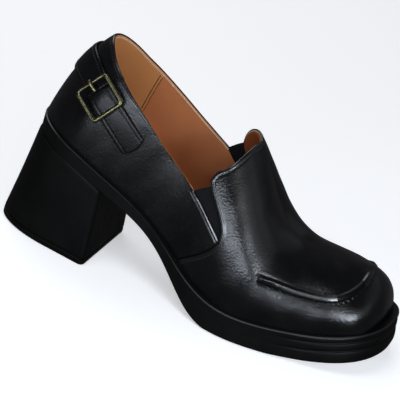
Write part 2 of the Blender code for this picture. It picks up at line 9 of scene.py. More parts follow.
import bmesh
import bpy
import numpy as np
from mathutils import Matrix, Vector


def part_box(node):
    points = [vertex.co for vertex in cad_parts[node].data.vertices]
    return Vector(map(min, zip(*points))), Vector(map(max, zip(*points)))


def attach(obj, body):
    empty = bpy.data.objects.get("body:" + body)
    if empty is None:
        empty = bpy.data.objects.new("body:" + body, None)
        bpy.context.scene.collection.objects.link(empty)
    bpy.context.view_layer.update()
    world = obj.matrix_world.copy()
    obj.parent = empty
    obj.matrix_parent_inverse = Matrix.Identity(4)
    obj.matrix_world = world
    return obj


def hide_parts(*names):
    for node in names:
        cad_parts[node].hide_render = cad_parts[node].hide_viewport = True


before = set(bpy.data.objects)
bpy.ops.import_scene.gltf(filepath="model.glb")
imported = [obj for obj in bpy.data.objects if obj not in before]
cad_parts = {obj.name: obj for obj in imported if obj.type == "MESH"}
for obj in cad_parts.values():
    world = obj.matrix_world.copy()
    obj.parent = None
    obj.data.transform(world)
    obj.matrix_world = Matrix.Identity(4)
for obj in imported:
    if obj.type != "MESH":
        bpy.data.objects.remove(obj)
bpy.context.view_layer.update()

MM = 0.001
GAP = 0.3
WELD = 0.002
TINY = 1e-9
U_STEP = 0.004
NEWTON_STEPS = 6
HALVINGS = 30
HEIGHT_SAMPLES = 400
LOCATE_U = (0.06, 0.94, 45)
LOCATE_T = (0.04, 0.96, 24)
TOPLINE_SEARCH = (0.1, 0.99)
SHARP_ANGLE = 40.0
TUBE_SIDES = 12
LATERAL = -1
MEDIAL = 1
SIDES = (LATERAL, MEDIAL)
ALL_EDGES = ("row0", "row1", "col0", "col1")
VAMP_EDGES = ("row0", "col0", "col1")

# Sole
RIM_BACK = 2.5
SHOE_LENGTH = 237.0
HEEL_ROUND = 30.0
HEEL_ROUND_POWER = 2.0
TOE_ROUND = 41.0
TOE_ROUND_POWER = 2.5
# x, outer edge y, inner edge y, seat height, underside height
SOLE = np.array((
    (0, -27.0, 28.0, 71.0, 62.0),
    (14, -29.5, 30.0, 69.4, 60.4),
    (28, -32.0, 31.2, 66.3, 57.4),
    (42, -33.0, 31.3, 61.5, 52.8),
    (56, -32.3, 30.5, 55.8, 47.4),
    (72, -30.8, 29.2, 48.7, 40.9),
    (88, -30.5, 28.3, 40.3, 33.0),
    (102, -33.0, 28.5, 31.7, 23.3),
    (114, -37.0, 29.6, 24.6, 13.3),
    (126, -41.3, 31.9, 19.2, 4.6),
    (138, -45.0, 35.0, 16.3, 0.2),
    (150, -46.8, 38.3, 15.4, -0.6),
    (165, -45.6, 41.9, 15.6, -0.6),
    (180, -41.8, 44.8, 16.6, 0.2),
    (195, -38.0, 46.5, 18.6, 2.0),
    (210, -35.5, 47.0, 22.0, 5.3),
    (224, -34.5, 46.5, 26.4, 9.2),
    (237, -34.0, 46.0, 31.0, 13.5),
))
# Side of the platform: part of the height from the top edge down, inset from the rim
SIDE_PROFILE = (
    (0.00, 0.8),
    (0.05, 0.0),
    (0.17, 0.0),
    (0.20, 1.3),
    (0.25, 1.3),
    (0.28, 0.3),
    (0.49, 0.3),
    (0.52, 1.5),
    (0.57, 1.5),
    (0.60, 0.5),
    (0.94, 0.5),
    (1.00, 1.6),
)
GROOVED_THICKNESS = (9.0, 14.0)
TOE_FLARE = 3.0
TOE_FLARE_SPAN = (195.0, 236.0)
RIB_FADE = 0.02
RIB_FADE_SPAN = (175.0, 222.0)
LIP_PART = 0.035
TOP_EDGE = 0.05
BOTTOM_EDGE = 0.06
SOLE_STATIONS = 260
SOLE_COLUMNS = 4
TREAD_COLUMNS = 40
TREAD_PITCH = 6.5
TREAD_DEPTH = 0.9
TREAD_WAVE = 2.2
TREAD_WAVE_LENGTH = 20.0
TREAD_FLANK = (0.35, 0.75)
TREAD_EDGE = (0.03, 0.10)
TREAD_BACK = (60.5, 68.5)
TREAD_FRONT = (225.0, 231.0)

# Heel block: height part, front x, back x, middle y, half width at the front, taper to the back
HEEL = np.array((
    (0.0, 58.5, -6.2, -1.5, 32.5, 0.16),
    (0.5, 57.0, -1.4, -1.2, 31.6, 0.09),
    (1.0, 56.0, 2.6, -0.8, 31.0, 0.02),
))
HEEL_BACK_ROUND = 37.0
HEEL_BACK_POWER = 2.2
HEEL_FRONT_ROUND = 3.0
HEEL_LIFT_HEIGHT = 3.5
HEEL_SIDE_STEPS = 48
HEEL_CORNER_STEPS = 8
HEEL_CHAMFER = 0.7
HEEL_TOP_CHAMFER = 0.012
HEEL_BOTTOM_CHAMFER = 0.006
# Height parts of the rings of the heel block, from the top down
HEEL_TOP_RINGS = (1.0, 0.985)
HEEL_RINGS = (0.97, 0.02, 24)
HEEL_BOTTOM_RINGS = (0.008, 0.0)
HEEL_COLUMNS = 6
# Height and inset of the rings of the top piece, with two grooves in its underside
LIFT_RINGS = (
    (HEEL_LIFT_HEIGHT, 0.5), (HEEL_LIFT_HEIGHT - 0.4, 0.0), (0.6, 0.0), (0.0, 0.6),
    (0.0, 4.0), (0.7, 4.4), (0.7, 5.6), (0.0, 6.0),
    (0.0, 12.0), (0.7, 12.4), (0.7, 13.6), (0.0, 14.0),
)
LIFT_COLUMNS = 2

# Last
WALL = 2.0
# Sole x and the width of the ledge round the upper
LEDGE = np.array((
    (2.5, 0.6),
    (20, 2.0),
    (60, 2.8),
    (130, 3.8),
    (200, 3.8),
    (237, 6.6),
))
# x, y and height of the crest line over heel opening, instep and toe
CREST = np.array((
    (47, 0.0, 136.0),
    (75, 0.0, 130.5),
    (100, 0.5, 118.0),
    (116, 1.0, 111.4),
    (128, 2.0, 100.6),
    (140, 2.5, 83.6),
    (151, 3.0, 67.0),
    (160, 3.5, 57.8),
    (169, 4.0, 54.0),
    (180, 4.5, 52.8),
    (191, 5.0, 52.2),
    (202, 5.5, 51.8),
))
# Sole x, forward lean and roundness power of the section that starts there
SECTION = np.array((
    (2.5, 0.23, 2.2),
    (40, 0.20, 2.2),
    (80, 0.10, 2.4),
    (115, 0.00, 2.5),
    (150, 0.00, 2.1),
    (200, 0.00, 2.15),
    (237, 0.00, 1.95),
))

# Panel lines of the upper in the side view: x, height at the outer side, height at the inner side
TOPLINE = np.array((
    (25, 128.2, 128.2),
    (29, 127.0, 127.0),
    (33, 124.4, 124.2),
    (40, 118.5, 118.4),
    (46, 114.0, 114.1),
    (52, 108.9, 111.1),
    (64, 99.6, 105.0),
    (75, 90.6, 99.2),
    (87, 80.6, 92.6),
    (97, 73.7, 87.1),
    (108, 68.3, 80.8),
))
QUARTER_FRONT = {LATERAL: (107.0, 68.7), MEDIAL: (107.6, 81.0)}
V_BOTTOM = {LATERAL: (132.2, 49.5), MEDIAL: (131.5, 52.5)}
V_FRONT = {
    LATERAL: ((131.4, 57.7), (124.0, 66.9), (116.6, 75.1)),
    MEDIAL: ((129.5, 61.0), (122.6, 73.0), (116.0, 83.5)),
}
TONGUE_CORNER = {LATERAL: (114.9, 78.6), MEDIAL: (115.0, 87.5)}
TONGUE_EDGE = {
    LATERAL: ((116.4, 84.2), (121.8, 87.8), (126.6, 95.6)),
    MEDIAL: ((115.4, 93.2), (118.0, 98.6), (123.0, 101.4)),
}
TONGUE_TOP_X = 128.7
SEAM = {
    LATERAL: ((120.0, 33.8), (128.5, 42.2)),
    MEDIAL: ((119.5, 34.5), (127.8, 43.5)),
}
SEAM_FOOT_X = 110.0
MID_RISE_BACK = 0.34
MID_RISE_TOE = 0.26
# Moc ridge: sole x and the part of the way up the section, outer and inner side
RIDGE = np.array((
    (150, 0.29, 0.29),
    (161, 0.306, 0.306),
    (170, 0.338, 0.338),
    (180, 0.350, 0.350),
    (190, 0.355, 0.358),
    (203, 0.371, 0.380),
    (210, 0.404, 0.420),
    (216, 0.459, 0.480),
    (223, 0.541, 0.575),
    (231, 0.654, 0.685),
    (237, 0.752, 0.752),
))
RIDGE_START_X = 159.5
RIDGE_FULL_X = 163.0
# Distance from the ridge's bright flank, towards the crest of the shoe, and height
RIDGE_PROFILE = (
    (-8.0, 0.0),
    (-3.4, 0.05),
    (-2.2, -0.25),
    (-1.75, -0.15),
    (-1.5, 0.75),
    (-1.25, 1.02),
    (0.8, 1.6),
    (1.15, 1.52),
    (1.7, 0.7),
    (2.4, 0.0),
    (3.1, -0.05),
    (4.0, 0.12),
    (5.6, 0.06),
    (9.0, 0.0),
)
RIDGE_TIP_DROP = 0.6
RIDGE_TIP_SPAN = (208.0, 232.0)
MOC_PITCH = 3.3
# Puckers between the moc stitches and dents under them: height, distance from the ridge and width
PUCKER = 0.16
PUCKER_PLACE = (-2.9, 1.1)
DENT = 0.55
DENT_PLACE = (-2.0, 0.6)
TOE_BOX = 0.9
TOE_BOX_X = 226.0
TOE_BOX_SPAN = 10.0
TOE_BOX_RISE = (0.2, 0.6)
# Front of the toe against the last: part of the way up the section, and offset
TOE_FRONT = (
    (0.00, -2.3),
    (0.25, -2.0),
    (0.42, -0.8),
    (0.55, 0.2),
    (0.66, 0.6),
    (0.76, 0.4),
    (0.88, 0.1),
    (1.00, 0.0),
)
TOE_FRONT_SPAN = (224.0, 237.0)
VAMP_LAP = 0.8
SEAM_CREASE = 0.7
SEAM_CREASE_WIDTH = 1.0

# Leather and lining sheets
LEATHER = 1.1
LINING_OUTSIDE = -1.15
LINING_SETBACK = 3.0
TONGUE_SETBACK = 1.2
SEAM_SETBACK = 1.2
OVERLAP = 0.05
EDGE_STEPS = 5
# Grid lines of the sheets, and where two numbers stand, how closely the lines crowd together
QUARTER_LOW = 40
QUARTER_GRID = ((110, 1.6), (QUARTER_LOW, 1.8), (60, 1.6))
VAMP_CORNER = 44
VAMP_LOW = 10
VAMP_ROWS = (210, 1.35)
VAMP_SIDES = (VAMP_CORNER - VAMP_LOW, 1.9)
VAMP_TOP = (54, 2.1)
LINING_GRID = (50, 8, 16)
VAMP_LINING_GRID = (70, 6, 12, 20)
# Unevenness of the leather, and the distances over which it fades near edges and ridge
SLOW_WAVE = 0.10
SLOW_WAVE_LENGTHS = (7.3, 11.0, 8.1, 9.7)
SHORT_WAVE = 0.05
SHORT_WAVE_LENGTHS = (3.1, 4.3, 5.7)
QUARTER_CALM = (2.0, 8.0)
VAMP_CALM = (2.0, 9.0)
RIDGE_CALM = (1.0, 5.0)
# Folded edge: distance from the edge in parts of the stitch inset, and height
EDGE_PROFILE = (
    (0.00, 0.00),
    (0.53, 0.145),
    (0.70, 0.15),
    (0.84, -0.05),
    (0.95, -0.08),
    (1.50, 0.07),
    (2.20, 0.03),
    (3.20, 0.00),
)
STITCH_INSET = 2.0
QUARTER_INSET = 1.7
FOLD_WIDTH = 2.8
RIDGE_FOLD = (-1.4, 1.0)
RIDGE_SHINE_SPAN = (176.0, 209.0)
# Dull stretches of the ridge: span along the shoe and span of the distance from its line
RIDGE_SHADES = (((160.5, 171.0), (-1.7, 0.2)), ((209.0, 229.0), (-1.6, 2.4)))
THREAD_SINK = 0.3
STITCH_PITCH = 2.3
STITCH_LENGTH = 1.7
THREAD_RADIUS = 0.26
# Steps along a thread: part of its length, size and lift in parts of its radius
THREAD_STEPS = (0, 0.12, 0.5, 0.88, 1.0)
THREAD_SIZES = (0.35, 0.85, 1.0, 0.85, 0.35)
THREAD_LIFTS = (-0.7, 0.3, 0.6, 0.3, -0.7)
THREAD_SIDES = 6
GROOVE_WIDTH = 0.4
BEAD_RADIUS = 0.55
BEAD_DROP = 1.0
BEAD_OFFSET = -0.9
BEAD_ROW = 3
COLLAR_BEAD_DROP = 0.8
COLLAR_BEAD_OFFSET = -1.6
HEEL_LINING = ((57.0, 104.0), (51.0, 80.0))
HEEL_LINING_FOOT_X = 46.0
HEEL_LINING_FOOT_T = 0.01
HEEL_LINING_MARGIN = 0.012
HEEL_LINING_INSIDE = -2.35
HEEL_LINING_ROWS = (70, 1.3)
HEEL_LINING_COLUMNS = 30
HEEL_LINING_GROOVE = 0.16
HEEL_LINING_INSETS = (0.2, STITCH_INSET)
HEEL_LINING_PITCH = STITCH_LENGTH + 0.1

# Insole
INSOLE_THICKNESS = 2.5
INSOLE_CLEARANCE = 1.2
INSOLE_STATIONS = 120
INSOLE_COLUMNS = 24
INSOLE_DOME = 0.8

# Elastic insets: corners in the side view, clockwise from the upper rear
GORE = {
    LATERAL: ((102.5, 65.1), (120.5, 78.1), (136.0, 47.0), (128.0, 44.0)),
    MEDIAL: ((105.0, 78.7), (120.0, 91.4), (135.5, 49.0), (127.0, 46.0)),
}
GORE_OUTSIDE = -1.25
GORE_THICKNESS = 0.4
GORE_RIBS = 15
GORE_RIB_HEIGHT = 0.12
GORE_RIB_STEPS = 8
GORE_COLUMNS = 30

# Strap: centre line in the side view and width, from the buckle round the back to the inner side
STRAP_THICKNESS = 1.6
STRAP_LATERAL = ((36.5, 102.0), (27.0, 108.3))
STRAP_BACK_HEIGHT = 110.5
STRAP_MEDIAL = ((27.0, 107.0), (37.0, 101.0), (49.0, 92.6), (64.0, 82.0))
STRAP_WIDTH_BACK = 17.0
STRAP_WIDTH = 14.0
STRAP_TAPER = (0.05, 0.24)
STRAP_STEPS = 220
TAB = ((37.6, 101.2), (49.0, 92.7), (65.4, 79.4))
TAB_STEPS = 90
STRAP_ACROSS = 40
STRAP_STITCH_INSET = 1.7
STRAP_CROWN = 0.25
STRAP_GROOVE = 0.20
STRAP_POINT = 2.0
STRAP_POINT_START = 0.75
# Parts of the length and of the width that have stitches
STRAP_SEWN = (0.05, 0.98)
TAB_SEWN = (0.05, 0.96)
POINT_SEWN = (0.15, 0.87)

# Buckle
BUCKLE_CENTRE = (39.9, 98.7)
BUCKLE_SLOPE = -37.0
BUCKLE_LENGTH = 21.6
BUCKLE_WIDTH = 22.4
BUCKLE_WIRE = 2.4
BUCKLE_BAR = 2.7
BUCKLE_CORNER = 2.2
BUCKLE_LIFT = 3.8
BUCKLE_REAR_THINNING = 0.30
BUCKLE_FLATNESS = 0.85
BUCKLE_SIDES = 16
BUCKLE_STEPS = 240
BUCKLE_CORNER_STEPS = 8
PRONG_LENGTH = 5.6
PRONG_START = 0.1
PRONG_DROP = 0.9
PRONG_CLEARANCE = 0.45
PRONG_RADIUS = 0.85
PRONG_TIP = (0.8, 0.72, 0.6, 0.4)
PRONG_FLATNESS = 1.25
PRONG_STEPS = 14

# Looks: noises are a scale and a detail; relief is a noise or the scale of cells, a second noise with
# its share, strength and depth
NOISE_SPAN = (0.3, 0.7)
LEATHER_TONE = (60, 4)
LEATHER_COLOURS = ((0.0016, 0.0016, 0.0018), (0.0036, 0.0036, 0.0040))
LEATHER_GRAIN = (140, 4)
LEATHER_RELIEF = ((950,), ((2600, 3), 0.6), 0.5, 0.15)
FOLD_RELIEF = ((1500, 3), None, 0.15, 0.10)
LINING_SHINE = 0.2
# Span of x over which the lining runs from its rear to its front colour; a darker front colour is painted
# shade deeper in the shoe.
LINING_SHADE_SPAN = (20, 170)
LINING_MOTTLE = (70, 4)
LINING_MOTTLE_SHARE = 0.4
LINING_STOPS = (0.1, 0.45, 0.95)
LINING_GRAIN = (300, 3)
LINING_ROUGH = (0.68, 0.82)
LINING_RELIEF = ((1300,), ((2400, 2), 0.5), 0.25, 0.12)
RUBBER_TONE = (50, 4)
RUBBER_GRAIN = (220, 4)
RUBBER_RELIEF = ((1800, 2), ((500, 3), 0.5), 0.15, 0.08)
THREAD_TONE = (1500, 2)
THREAD_GRAIN = (2000, 2)
THREAD_ROUGH = (0.45, 0.6)
THREAD_SHINE = 0.4
BRASS_COLOURS = ((0.13, 0.118, 0.055), (0.185, 0.170, 0.088), (0.24, 0.225, 0.132))

# Camera, fitted to the photo: degrees, millimetres, pixels per millimetre and pixels
CAMERA_AZIMUTH = 12.732
CAMERA_ELEVATION = 23.63
CAMERA_ROLL = 17.897
CAMERA_DISTANCE = 1201.7
CAMERA_SCALE = 1.745
CAMERA_CENTRE = (224.236, 206.196)
CAMERA_TARGET = (120.0, 0.0, 55.0)
PHOTO_SIZE = 400
SENSOR = 36.0
CAMERA_CLIP = (0.05, 50.0)

# Studio, in metres
FLOOR_SIZE = 6.0
FLOOR_DROP = 0.0002
FLOOR_COLOUR = (0.86, 0.86, 0.87, 1)
FLOOR_LOOK = {
    "Base Color": FLOOR_COLOUR,
    "Roughness": 0.9,
    "Specular IOR Level": 0.1,
    "Emission Color": FLOOR_COLOUR,
    "Emission Strength": 0.55,
}
WORLD_COLOUR = (0.06, 0.06, 0.064, 1)
SOFT = (0.92, 0.96, 1.0)
COLD = (0.81, 0.89, 1.0)
# Panels: name, azimuth, elevation, distance, size, power, tilt, shape, colour and direction of the back
LIGHTS = (
    ("key", -5.5, 14.2, 0.65, (0.55, 0.074), 1.75, 18.0, "RECTANGLE", COLD, None),
    ("bounce", -11.3, 2.3, 0.56, (0.18, 0.6), 0.26, 0.0, "RECTANGLE", SOFT, (0, -0.05, -1)),
    ("toe", 43.0, 23.4, 0.49, (0.15, 0.065), 0.82, 20.0, "RECTANGLE", COLD, None),
    ("side_near", 40.0, 34.0, 1.5, (0.8, 0.4), 0.55, 6.0, "ELLIPSE", SOFT, None),
    ("side_middle", 48.0, 35.0, 1.5, (1.7, 0.5), 1.2, 6.0, "ELLIPSE", SOFT, None),
    ("side_far", 62.0, 36.0, 1.5, (3.2, 0.7), 2.0, 6.0, "ELLIPSE", SOFT, None),
    ("side_rear", 128.0, 36.0, 1.5, (2.4, 0.9), 0.7, 0.0, "ELLIPSE", SOFT, None),
    ("fill", -20.0, 62.0, 1.5, (0.9, 0.6), 5.5, 0.0, "ELLIPSE", SOFT, None),
    ("back", -135.0, 45.0, 1.8, (1.4, 1.0), 8.0, 0.0, "ELLIPSE", SOFT, None),
)

lift_low, lift_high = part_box("heel_lift")
ORIGIN = np.array((HEEL[0, 2] - lift_low.x / MM, HEEL[0, 3] - (lift_low.y + lift_high.y) / 2 / MM, 0.0))


class Spline:
    """Natural cubic spline through one column of a table, held constant beyond its rows."""

    def __init__(self, table, column):
        self.x = table[:, 0].astype(float)
        self.y = table[:, column].astype(float)
        self.step = np.diff(self.x)
        slope = np.diff(self.y) / self.step
        matrix = np.eye(len(self.x))
        right = np.zeros(len(self.x))
        for i in range(1, len(self.x) - 1):
            before, after = self.step[i - 1], self.step[i]
            matrix[i, i - 1:i + 2] = before, 2 * (before + after), after
            right[i] = 6 * (slope[i] - slope[i - 1])
        self.bend = np.linalg.solve(matrix, right)

    def __call__(self, x):
        x = np.clip(x, self.x[0], self.x[-1])
        k = np.clip(np.searchsorted(self.x, x) - 1, 0, len(self.step) - 1)
        h = self.step[k]
        a = (self.x[k + 1] - x) / h
        b = 1 - a
        curve = (a ** 3 - a) * self.bend[k] + (b ** 3 - b) * self.bend[k + 1]
        return a * self.y[k] + b * self.y[k + 1] + curve * h * h / 6


outer_edge, inner_edge, seat_height, raw_underside = (Spline(SOLE, column) for column in range(1, 5))
ledge_width = Spline(LEDGE, 1)
crest_y, crest_z = (Spline(CREST, column) for column in (1, 2))
section_lean, section_power = (Spline(SECTION, column) for column in (1, 2))
topline_z = {LATERAL: Spline(TOPLINE, 1), MEDIAL: Spline(TOPLINE, 2)}
ridge_rise = {LATERAL: Spline(RIDGE, 1), MEDIAL: Spline(RIDGE, 2)}
heel_front, heel_back, heel_middle, heel_half, heel_taper = (Spline(HEEL, column) for column in range(1, 6))


def smooth_step(low, high, x):
    t = np.clip((x - low) / (high - low), 0, 1)
    return t * t * (3 - 2 * t)


def bump_at(x, middle, width):
    return np.exp(-((x - middle) / width) ** 2)


def unit(v):
    length = np.linalg.norm(v, axis=-1, keepdims=True)
    return v / np.where(length > TINY, length, 1.0)


def sole_underside(x):
    return np.maximum(raw_underside(x), 0.0)


def station_x(u):
    return RIM_BACK + (SHOE_LENGTH - RIM_BACK) * 0.5 * (1 - np.cos(np.pi * u))


def station_u(x):
    return math.acos(1 - 2 * (x - RIM_BACK) / (SHOE_LENGTH - RIM_BACK)) / math.pi


def crest_x(u):
    return CREST[0, 0] + (CREST[-1, 0] - CREST[0, 0]) * (station_x(u) - RIM_BACK) / (SHOE_LENGTH - RIM_BACK)


def crest_u(x):
    part = (x - CREST[0, 0]) / (CREST[-1, 0] - CREST[0, 0])
    return station_u(RIM_BACK + part * (SHOE_LENGTH - RIM_BACK))


def mirrored(u, side):
    """Brings a u beyond heel or toe back on the other side of the shoe."""
    over = (u < 0) | (u > 1)
    u = np.where(u < 0, -u, np.where(u > 1, 2 - u, u))
    return u, np.where(over, -side, side)


def rim(u, side):
    """Point of the sole rim in plan; u runs from 0 at the heel's back to 1 at the toe's tip."""
    u, side = mirrored(u, side)
    x = station_x(u)
    heel = np.clip((RIM_BACK + HEEL_ROUND - x) / HEEL_ROUND, 0, 1)
    toe = np.clip((x - SHOE_LENGTH + TOE_ROUND) / TOE_ROUND, 0, 1)
    cap = (1 - heel ** HEEL_ROUND_POWER) ** (1 / HEEL_ROUND_POWER)
    cap = cap * (1 - toe ** TOE_ROUND_POWER) ** (1 / TOE_ROUND_POWER)
    outer = outer_edge(x)
    inner = inner_edge(x)
    return np.stack((x, (outer + inner) / 2 + side * cap * (inner - outer) / 2), -1)


def inset_rim(u, side, inset):
    """Point of the rim moved inwards, square to the outline."""
    along = rim(u + U_STEP, side) - rim(u - U_STEP, side)
    across = np.stack((along[..., 1], -along[..., 0]), -1) * np.asarray(side)[..., None]
    return rim(u, side) + np.asarray(inset)[..., None] * unit(across)


def last_point(u, t, side):
    """Point of the last: u from heel to toe, t from the feather line (0) to the crest (1)."""
    u = np.asarray(u, float)
    t = np.asarray(t, float)
    side = np.where(t > 1, -side, side)
    t = np.clip(np.where(t > 1, 2 - t, t), 0, 1)
    u, side = mirrored(u, side)
    x = station_x(u)
    plan = inset_rim(u, side, ledge_width(x))
    foot = np.stack((plan[..., 0], plan[..., 1], seat_height(plan[..., 0]) + GAP), -1)
    top_x = crest_x(u)
    crest = np.stack((top_x, crest_y(top_x), crest_z(top_x)), -1)
    rise = crest[..., 2] - foot[..., 2]
    upright = np.stack((section_lean(x) * rise, 0 * rise, rise), -1)
    base = crest - upright
    power = 2 / section_power(x)
    out = np.cos(0.5 * np.pi * t).clip(0) ** power
    up = np.sin(0.5 * np.pi * t).clip(0) ** power
    return base + (foot - base) * out[..., None] + upright * up[..., None]


def last_normal(u, t, side):
    """Outward normal of the last, shared by both sides where they meet."""
    along = last_point(u + U_STEP, t, side) - last_point(u - U_STEP, t, side)
    up = last_point(u, t + U_STEP, side) - last_point(u, t - U_STEP, side)
    normal = np.cross(along, up) * -np.asarray(side)[..., None]
    length = np.linalg.norm(normal, axis=-1, keepdims=True)
    return np.where(length > TINY, normal, (0.0, 0.0, 1.0)) / np.where(length > TINY, length, 1.0)


def wall_point(u, t, side, offset):
    return last_point(u, t, side) + np.asarray(offset)[..., None] * last_normal(u, t, side)


def places(uv, side):
    """A grid of u, t pairs as the places that last_point, last_normal and wall_point take."""
    return uv[..., 0], uv[..., 1], side


def reach(place, target, point_at):
    """Newton steps over many u, t pairs at once towards points that point_at should reach."""
    place = np.array(place, float)
    for _ in range(NEWTON_STEPS):
        steps = [point_at(place + move) - point_at(place - move) for move in U_STEP * np.eye(2)]
        slope = np.stack(steps, -1) / (2 * U_STEP)
        square = np.einsum("...ki,...kj->...ij", slope, slope)
        right = np.einsum("...ki,...k->...i", slope, target - point_at(place))
        place = place + np.linalg.solve(square, right[..., None])[..., 0]
    return place


def locate(x, z, side):
    """u and t of the point of the last that the side view shows at x, z."""
    us, ts = np.meshgrid(np.linspace(*LOCATE_U), np.linspace(*LOCATE_T))
    grid = last_point(us, ts, side)
    start = np.argmin((grid[..., 0] - x) ** 2 + (grid[..., 2] - z) ** 2)
    return reach((us.flat[start], ts.flat[start]), np.array((x, z)),
                 lambda place: last_point(place[..., 0], place[..., 1], side)[..., ::2])


def located(points, side):
    return [locate(x, z, side) for x, z in points]


def back_place(height):
    t = np.linspace(0, 1, HEIGHT_SAMPLES)
    return np.array((0.0, np.interp(height, last_point(0 * t, t, MEDIAL)[:, 2], t)))


def topline_t(u, side):
    """Part of the section at u that stays below the topline."""
    low, high = (np.full(np.shape(u), end) for end in TOPLINE_SEARCH)
    for _ in range(HALVINGS):
        middle = (low + high) / 2
        point = last_point(u, middle, side)
        above = point[..., 2] > topline_z[side](point[..., 0])
        high = np.where(above, middle, high)
        low = np.where(above, low, middle)
    return low


def resample(points, parts):
    """Points at parts of the length of a polyline."""
    points = np.array(points, float)
    run = np.concatenate(((0,), np.cumsum(np.linalg.norm(np.diff(points, axis=0), axis=1))))
    return np.stack([np.interp(parts * run[-1], run, points[:, k]) for k in range(points.shape[1])], -1)


def rounded(points, passes):
    """Polyline with its inner corners cut, for round edges."""
    points = [np.array(p, float) for p in points]
    for _ in range(passes):
        fresh = [points[0]]
        for a, b in zip(points, points[1:]):
            fresh += [0.75 * a + 0.25 * b, 0.25 * a + 0.75 * b]
        points = fresh + [points[-1]]
    return points


def spread(count, power=1.0):
    """Parts from 0 to 1, closer together near 0 where the power is above 1."""
    return np.linspace(0, 1, count + 1) ** power


def spread_back(count, power):
    return 1 - spread(count, power)[::-1]


def panel(bottom, top, rows, cols, left=None, right=None):
    """Grid of u, t pairs between two lines and two sides, which are straight unless they are given."""
    left = line_to(bottom[0], top[0], cols) if left is None else left
    right = line_to(bottom[-1], top[-1], cols) if right is None else right
    rows = rows[:, None, None]
    cols = cols[None, :, None]
    ruled = (1 - cols) * bottom[:, None] + cols * top[:, None]
    ruled = ruled + (1 - rows) * left[None] + rows * right[None]
    corners = (1 - rows) * ((1 - cols) * bottom[0] + cols * top[0])
    corners = corners + rows * ((1 - cols) * bottom[-1] + cols * top[-1])
    return ruled - corners


def line_to(start, end, parts):
    return np.asarray(start) + parts[:, None] * (np.asarray(end) - start)


def moc_line(corner, rows, side):
    """Line of the moc seam; behind the ridge it runs up to the tongue's corner."""
    u = corner[0] + rows * (1 - corner[0])
    blend = smooth_step(corner[0], station_u(RIDGE[0, 0]), u)
    return np.stack((u, corner[1] + (ridge_rise[side](station_x(u)) - corner[1]) * blend), -1)


def seam_line(side, cols):
    foot = np.array((station_u(SEAM_FOOT_X), 0.0))
    return resample(rounded([foot, *located(SEAM[side], side), locate(*V_BOTTOM[side], side)], 2), cols)


def quarter_half(side, rows, low, high):
    """u, t grid of one quarter from the heel's back to the V cut."""
    v_bottom = locate(*V_BOTTOM[side], side)
    seam = seam_line(side, low)
    top_u = rows * locate(*QUARTER_FRONT[side], side)[0]
    foot = line_to(np.zeros(2), seam[0], rows)
    middle = line_to(np.array((0, MID_RISE_BACK)), v_bottom, rows)
    top = np.stack((top_u, topline_t(top_u, side)), -1)
    top[0] = 0.0, topline_t(0.0, LATERAL)
    below = panel(foot, middle, rows, low, right=seam)
    return np.concatenate((below, panel(middle, top, rows, high)[:, 1:]), 1)


def vamp_half(side, rows, low, sides, top):
    """u, t grid of one half of the vamp from the feather line to the crest."""
    v_bottom = locate(*V_BOTTOM[side], side)
    corner = locate(*TONGUE_CORNER[side], side)
    seam = seam_line(side, low)
    foot = line_to(seam[0], (1.0, 0.0), rows)
    middle = line_to(v_bottom, (1.0, MID_RISE_TOE), rows)
    moc = moc_line(corner, rows, side)
    crest = line_to((crest_u(TONGUE_TOP_X), 1.0), (1.0, 1.0), rows)
    v_edge = resample(rounded([v_bottom, *located(V_FRONT[side], side), corner], 3), sides)
    tongue = resample(rounded([corner, *located(TONGUE_EDGE[side], side), crest[0]], 3), top)
    grids = (panel(foot, middle, rows, low, seam),
             panel(middle, moc, rows, sides, v_edge)[:, 1:],
             panel(moc, crest, rows, top, tongue)[:, 1:])
    return np.concatenate(grids, 1)


def both_halves(half, *lines):
    """Both halves of a piece as one grid of u, t round the heel and the side of each row."""
    outer, inner = (half(side, *lines) for side in SIDES)
    side = np.array([LATERAL] * len(outer) + [MEDIAL] * (len(inner) - 1))[:, None]
    return np.concatenate((outer[::-1], inner[1:])), side


def whole_vamp(rows, low, sides, top):
    """The vamp as one grid over the crest and the side of each column."""
    outer, inner = (vamp_half(side, rows, low, sides, top) for side in SIDES)
    side = np.array([LATERAL] * outer.shape[1] + [MEDIAL] * (inner.shape[1] - 1))[None]
    return np.concatenate((outer, inner[:, -2::-1]), 1), side


def run_along(points, axis):
    """Length from the first line of a grid to every point, along one axis."""
    steps = np.linalg.norm(np.diff(points, axis=axis), axis=-1)
    start = np.zeros_like(np.take(steps, [0], axis))
    return np.concatenate((start, np.cumsum(steps, axis)), axis)


def from_line(points, line):
    """Distance of every point of a grid from a line of points."""
    step = np.diff(line, axis=0)
    size = (step ** 2).sum(-1)
    gaps = []
    for row in points:
        to = row[:, None] - line[:-1]
        part = ((to * step).sum(-1) / size).clip(0, 1)
        gaps.append(np.linalg.norm(to - part[..., None] * step, axis=-1).min(1))
    return np.array(gaps)


def put(name, data):
    """Object of the scene that shows a mesh, a light or a camera."""
    made = bpy.data.objects.new(name, data)
    bpy.context.scene.collection.objects.link(made)
    return made


